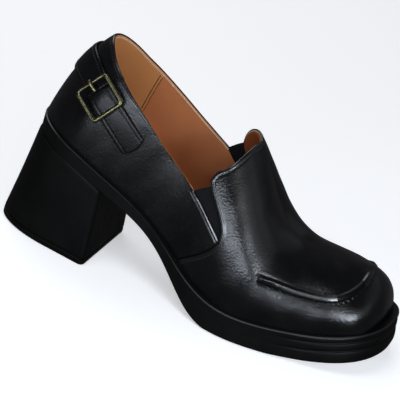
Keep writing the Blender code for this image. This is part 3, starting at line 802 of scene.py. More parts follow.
class Build:
    """Points and faces of one piece, gathered grid by grid."""

    def __init__(self):
        self.points = []
        self.faces = []
        self.looks = []
        self.count = 0

    def add(self, points, faces, look=0):
        """Adds faces; look is 0 for the piece's own material, else the number of a fold's material."""
        self.points.append(np.asarray(points, float).reshape(-1, 3))
        self.faces += [[int(i) + self.count for i in face] for face in faces]
        self.looks += np.broadcast_to(np.ravel(look), len(faces)).tolist()
        self.count += len(self.points[-1])

    def grid(self, points, look=0):
        rows, cols = points.shape[:2]
        index = np.arange(rows * cols).reshape(rows, cols)
        quads = np.stack((index[:-1, :-1], index[1:, :-1], index[1:, 1:], index[:-1, 1:]), -1)
        self.add(points, quads.reshape(-1, 4), look)

    def loop(self, points, look=0):
        """Grid whose columns close on themselves."""
        self.grid(np.concatenate((points, points[:, :1]), 1), look)

    def fill(self, ring):
        self.add(ring, [range(len(ring))])

    def slab(self, outer, inner, round_edges=ALL_EDGES, folds=None):
        """Sheet between two grids, half-round on the named borders, with its folds marked by grid point."""
        folded = folds is not None
        self.grid(outer, folds[1:, 1:].astype(int) if folded else 0)
        self.grid(inner)
        lines = {"row0": np.s_[0], "row1": np.s_[-1], "col0": np.s_[:, 0], "col1": np.s_[:, -1]}
        nexts = {"row0": np.s_[1], "row1": np.s_[-2], "col0": np.s_[:, 1], "col1": np.s_[:, -2]}
        away = {name: unit(outer[lines[name]] - outer[nexts[name]]) for name in round_edges}
        for row, row_end in (("row0", 0), ("row1", -1)):
            for col, col_end in (("col0", 0), ("col1", -1)):
                if row in away and col in away:
                    both = unit(away[row][col_end] + away[col][row_end])
                    away[row][col_end] = both
                    away[col][row_end] = both
        for name, outward in away.items():
            top, bottom = outer[lines[name]], inner[lines[name]]
            middle, half = (top + bottom) / 2, (top - bottom) / 2
            radius = np.linalg.norm(half, axis=-1, keepdims=True)
            turn = np.linspace(0, np.pi, EDGE_STEPS + 1)
            arcs = [middle + math.cos(a) * half + math.sin(a) * radius * outward for a in turn]
            self.grid(np.stack(arcs), int(folded))

    def make(self, name, look, replaced=(), fold_looks=()):
        """Mesh object of everything gathered, riding on the shoe."""
        mesh = bpy.data.meshes.new(name)
        points = (np.concatenate(self.points) - ORIGIN) * MM
        mesh.from_pydata(points.tolist(), [], self.faces)
        mesh.polygons.foreach_set("material_index", self.looks)
        work = bmesh.new()
        work.from_mesh(mesh)
        bmesh.ops.remove_doubles(work, verts=work.verts, dist=WELD * MM)
        bmesh.ops.dissolve_degenerate(work, edges=work.edges, dist=WELD * MM)
        bmesh.ops.recalc_face_normals(work, faces=work.faces)
        work.to_mesh(mesh)
        work.free()
        mesh.shade_smooth()
        mesh.set_sharp_from_angle(angle=math.radians(SHARP_ANGLE))
        for used in (look, *fold_looks):
            mesh.materials.append(used)
        made = put(name, mesh)
        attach(made, "root")
        if replaced:
            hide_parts(*replaced)


class Look:
    """Material made of shader nodes that vary over the surface."""

    def __init__(self, name, **sockets):
        self.made = bpy.data.materials.new(name)
        self.made.use_nodes = True
        self.tree = self.made.node_tree
        self.shader = self.tree.nodes["Principled BSDF"]
        self.place = self.node("TexCoord").outputs["Object"]
        self.set(self.shader, **sockets)

    def set(self, node, **sockets):
        """Gives sockets of a node their values or joins them to the outputs of other nodes."""
        for name, value in sockets.items():
            socket = node.inputs[name.replace("_", " ")]
            if isinstance(value, bpy.types.NodeSocket):
                self.tree.links.new(value, socket)
            else:
                socket.default_value = value

    def node(self, kind, **sockets):
        made = self.tree.nodes.new("ShaderNode" + kind)
        self.set(made, **sockets)
        return made

    def noise(self, scale, detail):
        return self.node("TexNoise", Vector=self.place, Scale=scale, Detail=detail).outputs["Fac"]

    def cells(self, scale):
        node = self.node("TexVoronoi")
        node.feature = "SMOOTH_F1"
        self.set(node, Vector=self.place, Scale=scale)
        return node.outputs["Distance"]

    def along_x(self, low, high):
        """0 to 1 over a stretch of x, in millimetres of the tables."""
        x = self.node("SeparateXYZ", Vector=self.place).outputs["X"]
        return self.ranged(x, (0, 1), ((low - ORIGIN[0]) * MM, (high - ORIGIN[0]) * MM))

    def ranged(self, source, to, start=NOISE_SPAN):
        limits = dict(zip(("From_Min", "From_Max", "To_Min", "To_Max"), (*start, *to)))
        return self.node("MapRange", Value=source, **limits).outputs["Result"]

    def mixed(self, a, b, share):
        node = self.node("Math")
        node.operation = "MULTIPLY_ADD"
        node.inputs[1].default_value = share
        self.tree.links.new(b, node.inputs[0])
        self.tree.links.new(a, node.inputs[2])
        return node.outputs["Value"]

    def colours(self, source, colours, stops):
        node = self.node("ValToRGB", Fac=source)
        ramp = node.color_ramp
        while len(ramp.elements) < len(stops):
            ramp.elements.new(1.0)
        for element, position, colour in zip(ramp.elements, stops, colours):
            element.position = position
            element.color = (*colour, 1)
        self.set(self.shader, Base_Color=node.outputs["Color"])

    def roughness(self, source, span):
        self.set(self.shader, Roughness=self.ranged(source, span))

    def relief(self, coarse, fine, strength, depth):
        """Bumps of a noise, or of cells where it has no detail, with a share of a second noise."""
        height = self.noise(*coarse) if len(coarse) > 1 else self.cells(*coarse)
        if fine:
            noise, share = fine
            height = self.mixed(height, self.noise(*noise), share)
        node = self.node("Bump", Strength=strength, Distance=depth * MM, Height=height)
        self.set(self.shader, Normal=node.outputs["Normal"])


def noise_look(name, tone, colours, grain, rough, relief=None, stops=NOISE_SPAN, **sockets):
    """Material by the noise of its tone and of its roughness, each a scale and a detail."""
    look = Look(name, **sockets)
    look.colours(look.noise(*tone), colours, stops)
    look.roughness(look.noise(*grain), rough)
    if relief:
        look.relief(*relief)
    return look.made


def leather_look(name, shine, rough, relief):
    return noise_look(name, LEATHER_TONE, LEATHER_COLOURS, LEATHER_GRAIN, rough, relief,
                      Specular_IOR_Level=shine)


def lining_look(name, *colours):
    """Lining leather by its colours at the rear, in the middle and in front, with random mottle; a darker
    front colour is painted shade deeper inside the shoe.
    """
    look = Look(name, Specular_IOR_Level=LINING_SHINE)
    # Painted shade along the shoe, mixed with random mottle.
    tone = look.mixed(look.along_x(*LINING_SHADE_SPAN), look.noise(*LINING_MOTTLE), LINING_MOTTLE_SHARE)
    look.colours(tone, colours, LINING_STOPS)
    look.roughness(look.noise(*LINING_GRAIN), LINING_ROUGH)
    look.relief(*LINING_RELIEF)
    return look.made


def rubber_look(name, colours, rough, shine, relief=None):
    return noise_look(name, RUBBER_TONE, colours, RUBBER_GRAIN, rough, relief, Specular_IOR_Level=shine)


def thread_look(name, *colours):
    return noise_look(name, THREAD_TONE, colours, THREAD_GRAIN, THREAD_ROUGH, Specular_IOR_Level=THREAD_SHINE)


LEATHER_LOOK = leather_look("black_leather", 0.42, (0.15, 0.22), LEATHER_RELIEF)
SOFT_LEATHER_LOOK = leather_look("black_leather_soft", 0.40, (0.22, 0.30), LEATHER_RELIEF)
STRAP_LOOK = leather_look("black_leather_strap", 0.26, (0.24, 0.32), LEATHER_RELIEF)
FOLD_LOOK = leather_look("black_leather_fold", 0.85, (0.18, 0.25), FOLD_RELIEF)
SHADE_LOOK = leather_look("black_leather_shade", 0.07, (0.30, 0.40), None)
# The tan lining darkens towards the front as painted shade inside the shoe.
LINING_LOOK = lining_look("tan_lining", (0.54, 0.21, 0.080), (0.54, 0.195, 0.075), (0.36, 0.125, 0.045))
HEEL_LINING_LOOK = lining_look("yellow_tan_lining", (0.60, 0.265, 0.088), (0.58, 0.25, 0.085),
                               (0.50, 0.21, 0.072))
# Lining under the tongue: the same tan leather, painted dark brown as shade because it lies in shadow under
# the tongue.
VAMP_LINING_SHADE_LOOK = lining_look("tan_lining_painted_shade", (0.16, 0.036, 0.009), (0.16, 0.036, 0.009),
                               (0.17, 0.040, 0.010))
EDGE_LOOK = noise_look("pale_lining_edge", tone=(400, 3), colours=((0.46, 0.33, 0.20), (0.56, 0.42, 0.27)),
                       grain=(500, 2), rough=(0.6, 0.75), Specular_IOR_Level=0.25)
RUBBER_LOOK = rubber_look("black_rubber", ((0.0016, 0.0016, 0.0015), (0.0032, 0.0031, 0.0028)),
                          (0.44, 0.54), 0.14, RUBBER_RELIEF)
LIP_LOOK = rubber_look("black_rubber_lip", ((0.0020, 0.0020, 0.0019), (0.0036, 0.0035, 0.0032)),
                       (0.34, 0.44), 0.5)
ELASTIC_LOOK = noise_look("black_elastic", tone=(700, 2), grain=(900, 2), rough=(0.75, 0.9),
                          colours=((0.002, 0.002, 0.003), (0.005, 0.005, 0.007)),
                          relief=((3200, 2), None, 0.4, 0.12),
                          Specular_IOR_Level=0.12, Sheen_Weight=0.06)
BRASS_LOOK = noise_look("antique_brass", tone=(260, 5), colours=BRASS_COLOURS, stops=(0.3, 0.5, 0.72),
                        grain=(420, 4), rough=(0.22, 0.40), relief=((900, 3), None, 0.12, 0.10),
                        Metallic=1.0)
THREAD_LOOK = thread_look("black_thread", (0.007, 0.007, 0.008), (0.016, 0.016, 0.018))
TAN_THREAD_LOOK = thread_look("brown_thread", (0.06, 0.024, 0.008), (0.10, 0.045, 0.016))
threads = Build()
tan_threads = Build()


def stitch_along(build, points, normals, pitch=STITCH_PITCH):
    """Row of short rounded threads along a line of points on a surface."""
    run = run_along(points, 0)
    starts = np.arange(pitch / 2, run[-1] - STITCH_LENGTH, pitch)
    at = starts[:, None] + STITCH_LENGTH * np.array(THREAD_STEPS)
    centres, normals = (np.stack([np.interp(at, run, values[:, k]) for k in range(3)], -1)
                        for values in (points, normals))
    normals = unit(normals)
    across = unit(np.cross(unit(np.gradient(centres, axis=1)), normals))
    turn = np.linspace(0, 2 * np.pi, THREAD_SIDES + 1)[:-1]
    ring = np.cos(turn)[:, None] * across[:, :, None] + np.sin(turn)[:, None] * normals[:, :, None]
    sizes = THREAD_RADIUS * np.array(THREAD_SIZES)[None, :, None, None]
    lifts = THREAD_RADIUS * np.array(THREAD_LIFTS)[None, :, None]
    for piece in (centres + lifts * normals)[:, :, None] + sizes * ring:
        build.loop(piece)
        build.fill(piece[0])
        build.fill(piece[-1])


def sew(build, line, side, offset, facing=1, pitch=STITCH_PITCH):
    """Row of stitches along a u, t line, facing out of the wall or, with -1, into the shoe."""
    stitch_along(build, wall_point(*line.T, side, offset), facing * last_normal(*line.T, side), pitch)


def line_inside(uv, points, distance):
    """u, t line that runs a distance away from the last column of a grid."""
    run = run_along(points[:, ::-1], 1)
    return np.array([[np.interp(distance, r, b[:, k]) for k in range(2)] for r, b in zip(run, uv[:, ::-1])])


def turned(grid):
    """Grid with its first row as its last column."""
    return grid.transpose(1, 0, 2)[:, ::-1]


def on_profile(profile, passes, x):
    return np.interp(x, *np.array(rounded(profile, passes)).T)


def edge_work(distance, inset):
    """Folded edge and the groove of its stitch row, by the distance from the edge."""
    return on_profile(EDGE_PROFILE, 1, distance / inset)


def soft_waves(points):
    """Slow unevenness of pulled leather."""
    x, y, z = np.moveaxis(points, -1, 0)
    along, over, up, under = SLOW_WAVE_LENGTHS
    slow = np.sin(x / along + y / over) * np.sin(z / up - y / under + 1.0)
    along, up, over = SHORT_WAVE_LENGTHS
    return SLOW_WAVE * slow + SHORT_WAVE * np.sin(x / along - z / up + y / over)


def make_quarters():
    uv, side = both_halves(quarter_half, *(spread_back(*lines) for lines in QUARTER_GRID))
    place = places(uv, side)
    flat = last_point(*place)
    from_top = run_along(flat[:, ::-1], 1)[:, ::-1]
    from_cuts = [from_line(flat, flat[end, QUARTER_LOW:]) for end in (0, -1)]
    from_edge = np.minimum.reduce([from_top, *from_cuts])
    from_seam = np.minimum(*(from_line(flat, flat[end, :QUARTER_LOW + 1]) for end in (0, -1)))
    work = edge_work(from_edge, QUARTER_INSET) - SEAM_CREASE * bump_at(from_seam, 0, SEAM_CREASE_WIDTH)
    outer = wall_point(*place, work + soft_waves(flat) * smooth_step(*QUARTER_CALM, from_top))
    build = Build()
    build.slab(outer, wall_point(*place, -LEATHER), folds=from_edge < FOLD_WIDTH)
    build.make("quarters", SOFT_LEATHER_LOOK, ("upper",), (FOLD_LOOK,))
    sew(threads, line_inside(uv, flat, QUARTER_INSET), side[:, 0], -THREAD_SINK)
    return uv, side


def ridge_offset(distance, run):
    """Height of the moc ridge by the distance from its line, and the puckers of its stitches."""
    bead = on_profile(RIDGE_PROFILE, 2, distance)
    pull = (0.5 + 0.5 * np.cos(2 * np.pi * run / MOC_PITCH)) ** 2
    pucker = PUCKER * (1 - pull) * bump_at(distance, *PUCKER_PLACE)
    return bead + pucker - DENT * pull * bump_at(distance, *DENT_PLACE)


def toe_box(u, t):
    """Fullness of the toe's corners, which makes the toe a little squarer."""
    return TOE_BOX * bump_at(station_x(u), TOE_BOX_X, TOE_BOX_SPAN) * (1 - smooth_step(*TOE_BOX_RISE, t))


def toe_front(u, t):
    """Set-back of the toe's foot and fullness of its top, at the front alone."""
    return on_profile(TOE_FRONT, 2, t) * smooth_step(*TOE_FRONT_SPAN, station_x(u))


def within(values, span):
    return (values >= span[0]) & (values < span[1])


def make_vamp():
    top = spread(*VAMP_TOP)
    uv, side = whole_vamp(spread(*VAMP_ROWS), spread(VAMP_LOW), spread_back(*VAMP_SIDES), top)
    place = places(uv, side)
    u, t = place[:2]
    x = station_x(u)
    flat = last_point(*place)
    half = VAMP_CORNER + len(top)
    far_corner = flat.shape[1] - 1 - VAMP_CORNER
    halves = ((flat[:, :half], flat[:, VAMP_CORNER]), (flat[:, half:], flat[:, far_corner]))
    column = np.arange(flat.shape[1])
    above = np.where((column > VAMP_CORNER) & (column < far_corner), 1, -1)
    distance = above * np.concatenate([from_line(grid, moc) for grid, moc in halves], 1)
    runs = [np.repeat(run_along(moc, 0)[:, None], grid.shape[1], 1) for grid, moc in halves]
    strength = smooth_step(RIDGE_START_X, RIDGE_FULL_X, x)
    strength = strength * (1 - RIDGE_TIP_DROP * smooth_step(*RIDGE_TIP_SPAN, x))
    from_edge = from_line(flat, flat[0])
    front = toe_front(u, t)
    ridge = strength * ridge_offset(distance, np.concatenate(runs, 1))
    offset = VAMP_LAP + ridge + edge_work(from_edge, STITCH_INSET) + toe_box(u, t) + front
    calm = 1 - strength * bump_at(distance, *RIDGE_CALM)
    offset = offset + soft_waves(flat) * smooth_step(*VAMP_CALM, from_edge) * calm
    on_ridge = within(x, RIDGE_SHINE_SPAN) & within(distance, RIDGE_FOLD)
    in_shade = np.logical_or(*(within(x, span) & within(distance, wide) for span, wide in RIDGE_SHADES))
    folds = np.where(in_shade, 2, on_ridge | (from_edge < FOLD_WIDTH))
    build = Build()
    build.slab(wall_point(*place, offset), wall_point(*place, VAMP_LAP - LEATHER + front), VAMP_EDGES, folds)
    build.make("vamp", LEATHER_LOOK, ("upper",), (FOLD_LOOK, SHADE_LOOK))
    line = line_inside(turned(uv), turned(flat), STITCH_INSET)
    sew(threads, line, side[0], VAMP_LAP - THREAD_SINK)
    return uv, side


def drawn_back(uv, side, start, end):
    """Grid whose first and last rows stand back from the edges, by a distance for each column."""
    run = run_along(last_point(*places(uv, side)), 0)
    at = start + run / run[-1] * (run[-1] - start - end)
    columns = [[np.interp(at[:, j], run[:, j], uv[:, j, k]) for k in range(2)] for j in range(uv.shape[1])]
    return np.transpose(np.array(columns), (2, 0, 1))


def past(column, line):
    """0 to 1 over the two columns at a line of a lining's grid."""
    return smooth_step(line - 0.5, line + 1.5, column)


def make_lining_sheet(name, look, uv, side, outside, edges):
    place = places(uv, side)
    front = toe_front(*place[:2])
    build = Build()
    build.slab(*(wall_point(*place, offset + front) for offset in (outside, -WALL)), edges)
    build.make(name, look, ("upper",))


def make_lining():
    uv, side = both_halves(quarter_half, *(spread(count) for count in LINING_GRID))
    back = LINING_SETBACK * past(np.arange(uv.shape[1]), LINING_GRID[1])
    uv = drawn_back(uv, side, back, back)
    make_lining_sheet("lining", LINING_LOOK, uv, side, LINING_OUTSIDE, ALL_EDGES)
    uv, side = whole_vamp(*(spread(count) for count in VAMP_LINING_GRID))
    low, sides = VAMP_LINING_GRID[1:3]
    column = np.arange(uv.shape[1])
    column = np.minimum(column, column[::-1])
    back = SEAM_SETBACK + (LINING_SETBACK - SEAM_SETBACK) * past(column, low)
    back = back + (TONGUE_SETBACK - LINING_SETBACK) * past(column, low + sides - 0.5)
    uv = drawn_back(uv, side, back, 0.0)
    make_lining_sheet("vamp_lining", VAMP_LINING_SHADE_LOOK, uv, side, VAMP_LAP - LEATHER - OVERLAP, VAMP_EDGES)


def heel_lining_half(side, rows, cols):
    """u, t grid of the heel piece of the lining, from the back to its slanted seam."""
    high, low = located(HEEL_LINING, side)
    foot = np.array((station_u(HEEL_LINING_FOOT_X), HEEL_LINING_FOOT_T))
    top_u = rows * high[0]
    top = np.stack((top_u, topline_t(top_u, side) - HEEL_LINING_MARGIN), -1)
    top[0] = 0.0, topline_t(0.0, LATERAL) - HEEL_LINING_MARGIN
    bottom = line_to((0.0, HEEL_LINING_FOOT_T), foot, rows)
    seam = resample([foot, low, top[-1]], cols)
    return panel(bottom, top, rows, cols, right=seam)


def make_heel_lining():
    uv, side = both_halves(heel_lining_half, spread_back(*HEEL_LINING_ROWS), spread(HEEL_LINING_COLUMNS))
    place = places(uv, side)
    flat = last_point(*place)
    from_seam = np.minimum(run_along(flat, 0), run_along(flat[::-1], 0)[::-1])
    groove = HEEL_LINING_GROOVE * bump_at(from_seam, STITCH_INSET, GROOVE_WIDTH)
    build = Build()
    build.slab(wall_point(*place, OVERLAP - WALL), wall_point(*place, HEEL_LINING_INSIDE + groove),
               ("row0", "row1", "col1"))
    build.make("heel_lining", HEEL_LINING_LOOK, ("upper",))
    for which, step in ((LATERAL, 1), (MEDIAL, -1)):
        for inset in HEEL_LINING_INSETS:
            line = line_inside(turned(uv[::step]), turned(flat[::step]), inset)
            sew(tan_threads, line, which, HEEL_LINING_INSIDE + OVERLAP, -1, HEEL_LINING_PITCH)


def tube(build, path, normals, radius, closed=False, flat=1.0, sides=TUBE_SIDES):
    """Round or oval bar along a path."""
    if closed:
        along = np.roll(path, -1, 0) - np.roll(path, 1, 0)
    else:
        along = np.gradient(path, axis=0)
    across = unit(np.cross(along, normals))
    up = unit(np.cross(across, unit(along)))
    turn = np.linspace(0, 2 * np.pi, sides + 1)[:-1]
    ring = np.cos(turn)[:, None] * across[:, None] + flat * np.sin(turn)[:, None] * up[:, None]
    rings = path[:, None] + np.reshape(radius, (-1, 1, 1)) * ring
    if closed:
        build.loop(np.concatenate((rings, rings[:1])))
    else:
        build.loop(rings)
        build.fill(rings[0])
        build.fill(rings[-1])


def make_edge_beads(quarter, vamp):
    """Pale rolled lining edge along the collar and the tongue."""
    build = Build()
    uv, side = quarter
    line, sides = uv[:, -1], side[:, 0]
    path = wall_point(*line.T, sides, COLLAR_BEAD_OFFSET) - (0, 0, COLLAR_BEAD_DROP)
    tube(build, path, last_normal(*line.T, sides), BEAD_RADIUS)
    uv, side = vamp
    tongue = slice(VAMP_CORNER, -VAMP_CORNER - 1)
    line, sides = uv[0, tongue], side[0, tongue]
    path = wall_point(*line.T, sides, BEAD_OFFSET)
    path = path - BEAD_DROP * unit(path - last_point(*uv[BEAD_ROW, tongue].T, sides))
    tube(build, path, last_normal(*line.T, sides), BEAD_RADIUS)
    build.make("lining_edges", EDGE_LOOK)


def make_gores():
    rows, cols = spread(GORE_RIBS * GORE_RIB_STEPS), spread(GORE_COLUMNS)
    ribs = GORE_RIB_HEIGHT * np.cos(2 * np.pi * GORE_RIBS * rows)[:, None] * np.ones(len(cols))
    for side, name in ((LATERAL, "gore_lateral"), (MEDIAL, "gore_medial")):
        upper_rear, upper_front, lower_front, lower_rear = located(GORE[side], side)
        low, high = line_to(lower_rear, lower_front, rows), line_to(upper_rear, upper_front, rows)
        place = places(panel(low, high, rows, cols), side)
        build = Build()
        build.slab(wall_point(*place, GORE_OUTSIDE + ribs),
                   wall_point(*place, GORE_OUTSIDE - GORE_THICKNESS + ribs))
        build.make(name + "_ribbed", ELASTIC_LOOK, (name,))


def outline_stations(count):
    u = np.linspace(0, 1, count + 1)
    return np.concatenate((u, u[-2:0:-1])), np.array([LATERAL] * (count + 1) + [MEDIAL] * (count - 1))


def cap_grid(ring, columns):
    """Grid across a ring of outline points, from the outer to the inner side at each station."""
    count = len(ring) // 2
    outer = ring[:count + 1]
    inner = np.concatenate((ring[:1], ring[:count - 1:-1]))
    return outer[:, None] + np.linspace(0, 1, columns + 1)[None, :, None] * (inner - outer)[:, None]


def tread_depth(points):
    """Wavy grooves across the underside, fading out at its edge."""
    share = np.linspace(0, 1, points.shape[1])[None]
    fade = smooth_step(*TREAD_EDGE, share) * smooth_step(*TREAD_EDGE, 1 - share)
    x, y = points[..., 0], points[..., 1]
    phase = (x + TREAD_WAVE * np.sin(2 * np.pi * y / TREAD_WAVE_LENGTH)) / TREAD_PITCH
    ends = smooth_step(*TREAD_BACK, x) * (1 - smooth_step(*TREAD_FRONT, x))
    return TREAD_DEPTH * smooth_step(*TREAD_FLANK, np.cos(2 * np.pi * phase)) * fade * ends


def make_outsole():
    u, side = outline_stations(SOLE_STATIONS)
    x = station_x(u)
    grooved = smooth_step(*GROOVED_THICKNESS, seat_height(x) - sole_underside(x))
    grooved = grooved * (RIB_FADE + (1 - RIB_FADE) * smooth_step(*RIB_FADE_SPAN, x))
    loops = []
    lip = []
    for part, inset in rounded(SIDE_PROFILE, 2):
        lip.append(int(part < LIP_PART))
        ends = max(0.0, 1 - part / TOP_EDGE) + max(0.0, 1 - (1 - part) / BOTTOM_EDGE)
        share = grooved + (1 - grooved) * min(1.0, ends)
        flare = TOE_FLARE * (1 - part) * smooth_step(*TOE_FLARE_SPAN, x)
        plan = inset_rim(u, side, flare + inset * share)
        top = seat_height(plan[:, 0])
        loops.append(np.stack((*plan.T, top + part * (sole_underside(plan[:, 0]) - top)), -1))
    build = Build()
    build.loop(np.array(loops), np.repeat(lip[:-1], len(u)))
    build.grid(cap_grid(loops[0], SOLE_COLUMNS))
    under = cap_grid(loops[-1], TREAD_COLUMNS)
    under[..., 2] = sole_underside(under[..., 0]) + tread_depth(under)
    under[:, (0, -1)] = cap_grid(loops[-1], 1)
    build.grid(under)
    build.make("outsole_ribbed", RUBBER_LOOK, ("outsole",), (LIP_LOOK,))


def heel_outline(part, inset):
    """Plan of the heel from its back round the outer side to the front and back again."""
    front, back = heel_front(part) - inset, heel_back(part) + inset
    power = 2 / HEEL_BACK_POWER
    sweep = np.linspace(0, np.pi / 2, HEEL_SIDE_STEPS + 1)
    bend = np.linspace(0, np.pi / 2, HEEL_CORNER_STEPS + 1)
    corner_x = front - HEEL_FRONT_ROUND * (1 - np.sin(bend))
    round_x = back + HEEL_BACK_ROUND * (1 - np.cos(sweep).clip(0) ** power)
    x = np.concatenate((round_x, corner_x, (front,)))
    y = heel_half(part) - inset - heel_taper(part) * (front - x)
    y[:len(sweep)] *= np.sin(sweep) ** power
    y[len(sweep):-1] -= HEEL_FRONT_ROUND * (1 - np.cos(bend))
    y[-1] = 0.0
    return np.concatenate((x, x[-2:0:-1])), heel_middle(part) + np.concatenate((-y, y[-2:0:-1]))


def make_ringed(loops, columns, name, node):
    """Rubber piece of rings one below the other, closed by grids."""
    build = Build()
    build.loop(np.array(loops))
    for ring in (loops[0], loops[-1]):
        build.grid(cap_grid(ring, columns))
    build.make(name, RUBBER_LOOK, (node,))


def make_heel():
    bottom = HEEL_LIFT_HEIGHT + GAP
    loops = []
    for part in np.concatenate((HEEL_TOP_RINGS, np.linspace(*HEEL_RINGS), HEEL_BOTTOM_RINGS)):
        near_end = bump_at(part, 1.0, HEEL_TOP_CHAMFER) + bump_at(part, 0.0, HEEL_BOTTOM_CHAMFER)
        x, y = heel_outline(part, HEEL_CHAMFER * near_end)
        loops.append(np.stack((x, y, bottom + part * (raw_underside(x) - GAP - bottom)), -1))
    make_ringed(loops, HEEL_COLUMNS, "heel_block_smooth", "heel_block")
    loops = []
    for z, inset in LIFT_RINGS:
        x, y = heel_outline(0.0, inset)
        loops.append(np.stack((x, y, 0 * x + z), -1))
    make_ringed(loops, LIFT_COLUMNS, "heel_lift_grooved", "heel_lift")


def make_insole():
    u, side = outline_stations(INSOLE_STATIONS)
    plan = inset_rim(u, side, ledge_width(station_x(u)) + WALL + INSOLE_CLEARANCE)
    seat = np.concatenate((plan, (seat_height(plan[:, 0]) + GAP)[:, None]), 1)
    under = cap_grid(seat, INSOLE_COLUMNS)
    share = np.linspace(-1, 1, INSOLE_COLUMNS + 1)
    over = under + np.array((0, 0, 1.0)) * (INSOLE_THICKNESS + INSOLE_DOME * (share ** 4 - 1))[None, :, None]
    build = Build()
    build.slab(over, under, ("col0", "col1"))
    build.make("insole_sock", LINING_LOOK, ("insole",))


def signed_point(place):
    return last_point(place[..., 0], place[..., 1], MEDIAL)


def signed_places(side, points):
    """Places on the last with u counted negative on the outer side, so a line can cross the back."""
    return [(side * u, t) for u, t in located(points, side)]


def band_grid(line, widths):
    """u, t grid of a band along a line of signed places, its far end drawn out to a blunt point."""
    centre = signed_point(line)
    ahead = unit(np.gradient(centre, axis=0))
    across = unit(np.cross(last_normal(*line.T, MEDIAL), ahead))
    share = np.linspace(-0.5, 0.5, STRAP_ACROSS + 1)
    target = centre[:, None] + (share * widths[:, None])[..., None] * across[:, None]
    near_end = smooth_step(STRAP_POINT_START, 1.0, np.linspace(0, 1, len(line)))
    draw = near_end[:, None] * (1 - 4 * share ** 2) * STRAP_POINT
    target = target + draw[..., None] * ahead[:, None]
    return reach(np.repeat(line[:, None], len(share), 1), target, signed_point), share


def make_band(name, node, points, widths, steps, sewn):
    """Strap with rolled edges, a crowned face and a stitch row along each edge and across its point."""
    line = resample(rounded(points, 4), spread(steps))
    wide = widths(line)
    uv, share = band_grid(line, wide)
    from_edge = (0.5 - np.abs(share))[None] * wide[:, None]
    crown = STRAP_CROWN * (1 - 4 * share ** 2)[None]
    crown = crown - STRAP_GROOVE * bump_at(from_edge, STRAP_STITCH_INSET, GROOVE_WIDTH)
    place = places(uv, MEDIAL)
    build = Build()
    build.slab(wall_point(*place, GAP + STRAP_THICKNESS - STRAP_CROWN + crown), wall_point(*place, GAP))
    build.make(name, STRAP_LOOK, (node,))
    surface = wall_point(*place, GAP + STRAP_THICKNESS - THREAD_SINK)
    normals = last_normal(*place)
    margin = STRAP_STITCH_INSET / wide
    first, last = (int(round(part * (len(line) - 1))) for part in sewn)
    for edge in (-1, 1):
        at = 0.5 + edge * (0.5 - margin)
        pick = lambda values: np.array([[np.interp(a, share + 0.5, row[:, k]) for k in range(3)]
                                        for a, row in zip(at, values)])[first:last]
        stitch_along(threads, pick(surface), pick(normals))
    last_step = np.linalg.norm(signed_point(line[-1]) - signed_point(line[-2]))
    row = len(line) - 1 - int(round(STRAP_STITCH_INSET / last_step))
    inside = slice(*(int(part * len(share)) for part in POINT_SEWN))
    stitch_along(threads, surface[row, inside], normals[row, inside])


def make_straps():
    points = [*signed_places(LATERAL, STRAP_LATERAL), back_place(STRAP_BACK_HEIGHT),
              *signed_places(MEDIAL, STRAP_MEDIAL)]
    spread_out = lambda line: 1 - smooth_step(*STRAP_TAPER, np.abs(line[:, 0]))
    make_band("heel_strap_sewn", "heel_strap", points,
              lambda line: STRAP_WIDTH + (STRAP_WIDTH_BACK - STRAP_WIDTH) * spread_out(line),
              STRAP_STEPS, STRAP_SEWN)
    make_band("strap_tab_sewn", "strap_tab", signed_places(LATERAL, TAB),
              lambda line: np.full(len(line), STRAP_WIDTH), TAB_STEPS, TAB_SEWN)


def buckle_axes():
    """Centre of the buckle and its directions along the strap, across it and out of the wall."""
    place = locate(*BUCKLE_CENTRE, LATERAL)
    out = last_normal(*place, LATERAL)
    slope = math.radians(BUCKLE_SLOPE)
    along = np.array((math.cos(slope), 0, math.sin(slope)))
    along = unit(along - out * (along @ out))
    return wall_point(*place, LATERAL, BUCKLE_LIFT), along, np.cross(out, along), out


def make_brass(name, node, path, normal, radius, closed, flat, sides):
    build = Build()
    tube(build, path, np.repeat(normal[None], len(path), 0), radius, closed, flat, sides)
    build.make(name, BRASS_LOOK, (node,))


def make_buckle():
    centre, along, across, out = buckle_axes()
    half_length = (BUCKLE_LENGTH - BUCKLE_WIRE) / 2 - BUCKLE_CORNER
    half_width = (BUCKLE_WIDTH - BUCKLE_WIRE) / 2 - BUCKLE_CORNER
    path = []
    for quarter, (sx, sy) in enumerate(((1, 1), (-1, 1), (-1, -1), (1, -1))):
        for angle in 0.5 * math.pi * (quarter + spread(BUCKLE_CORNER_STEPS)):
            path.append((sx * half_length + BUCKLE_CORNER * math.cos(angle),
                         sy * half_width + BUCKLE_CORNER * math.sin(angle)))
    path = resample(path + path[:1], spread(BUCKLE_STEPS))[:-1]
    on_rear = smooth_step(-half_length, -half_length - BUCKLE_CORNER, path[:, 0])
    radius = BUCKLE_BAR / 2 * (1 - BUCKLE_REAR_THINNING * on_rear)
    points = centre + path[:, :1] * along + path[:, 1:] * across
    make_brass("buckle_frame_brass", "buckle_frame", points, out, radius, True, BUCKLE_FLATNESS, BUCKLE_SIDES)

    rear = -(BUCKLE_LENGTH - BUCKLE_WIRE) / 2
    bend = BUCKLE_WIRE / 2 + PRONG_CLEARANCE
    turn = np.linspace(1.5 * np.pi, 0.5 * np.pi, PRONG_STEPS)
    hook = [(rear + bend * math.cos(a), bend * math.sin(a)) for a in turn]
    parts = np.linspace(PRONG_START, 1, PRONG_STEPS)
    tongue = [(rear + PRONG_LENGTH * part, bend - PRONG_DROP * part) for part in parts]
    side_view = np.array(hook + tongue)
    points = centre + side_view[:, :1] * along + side_view[:, 1:] * out
    size = np.full(len(points), PRONG_RADIUS)
    size[-len(PRONG_TIP):] = PRONG_TIP
    make_brass("buckle_prong_brass", "buckle_prong", points, across, size, False, PRONG_FLATNESS, TUBE_SIDES)


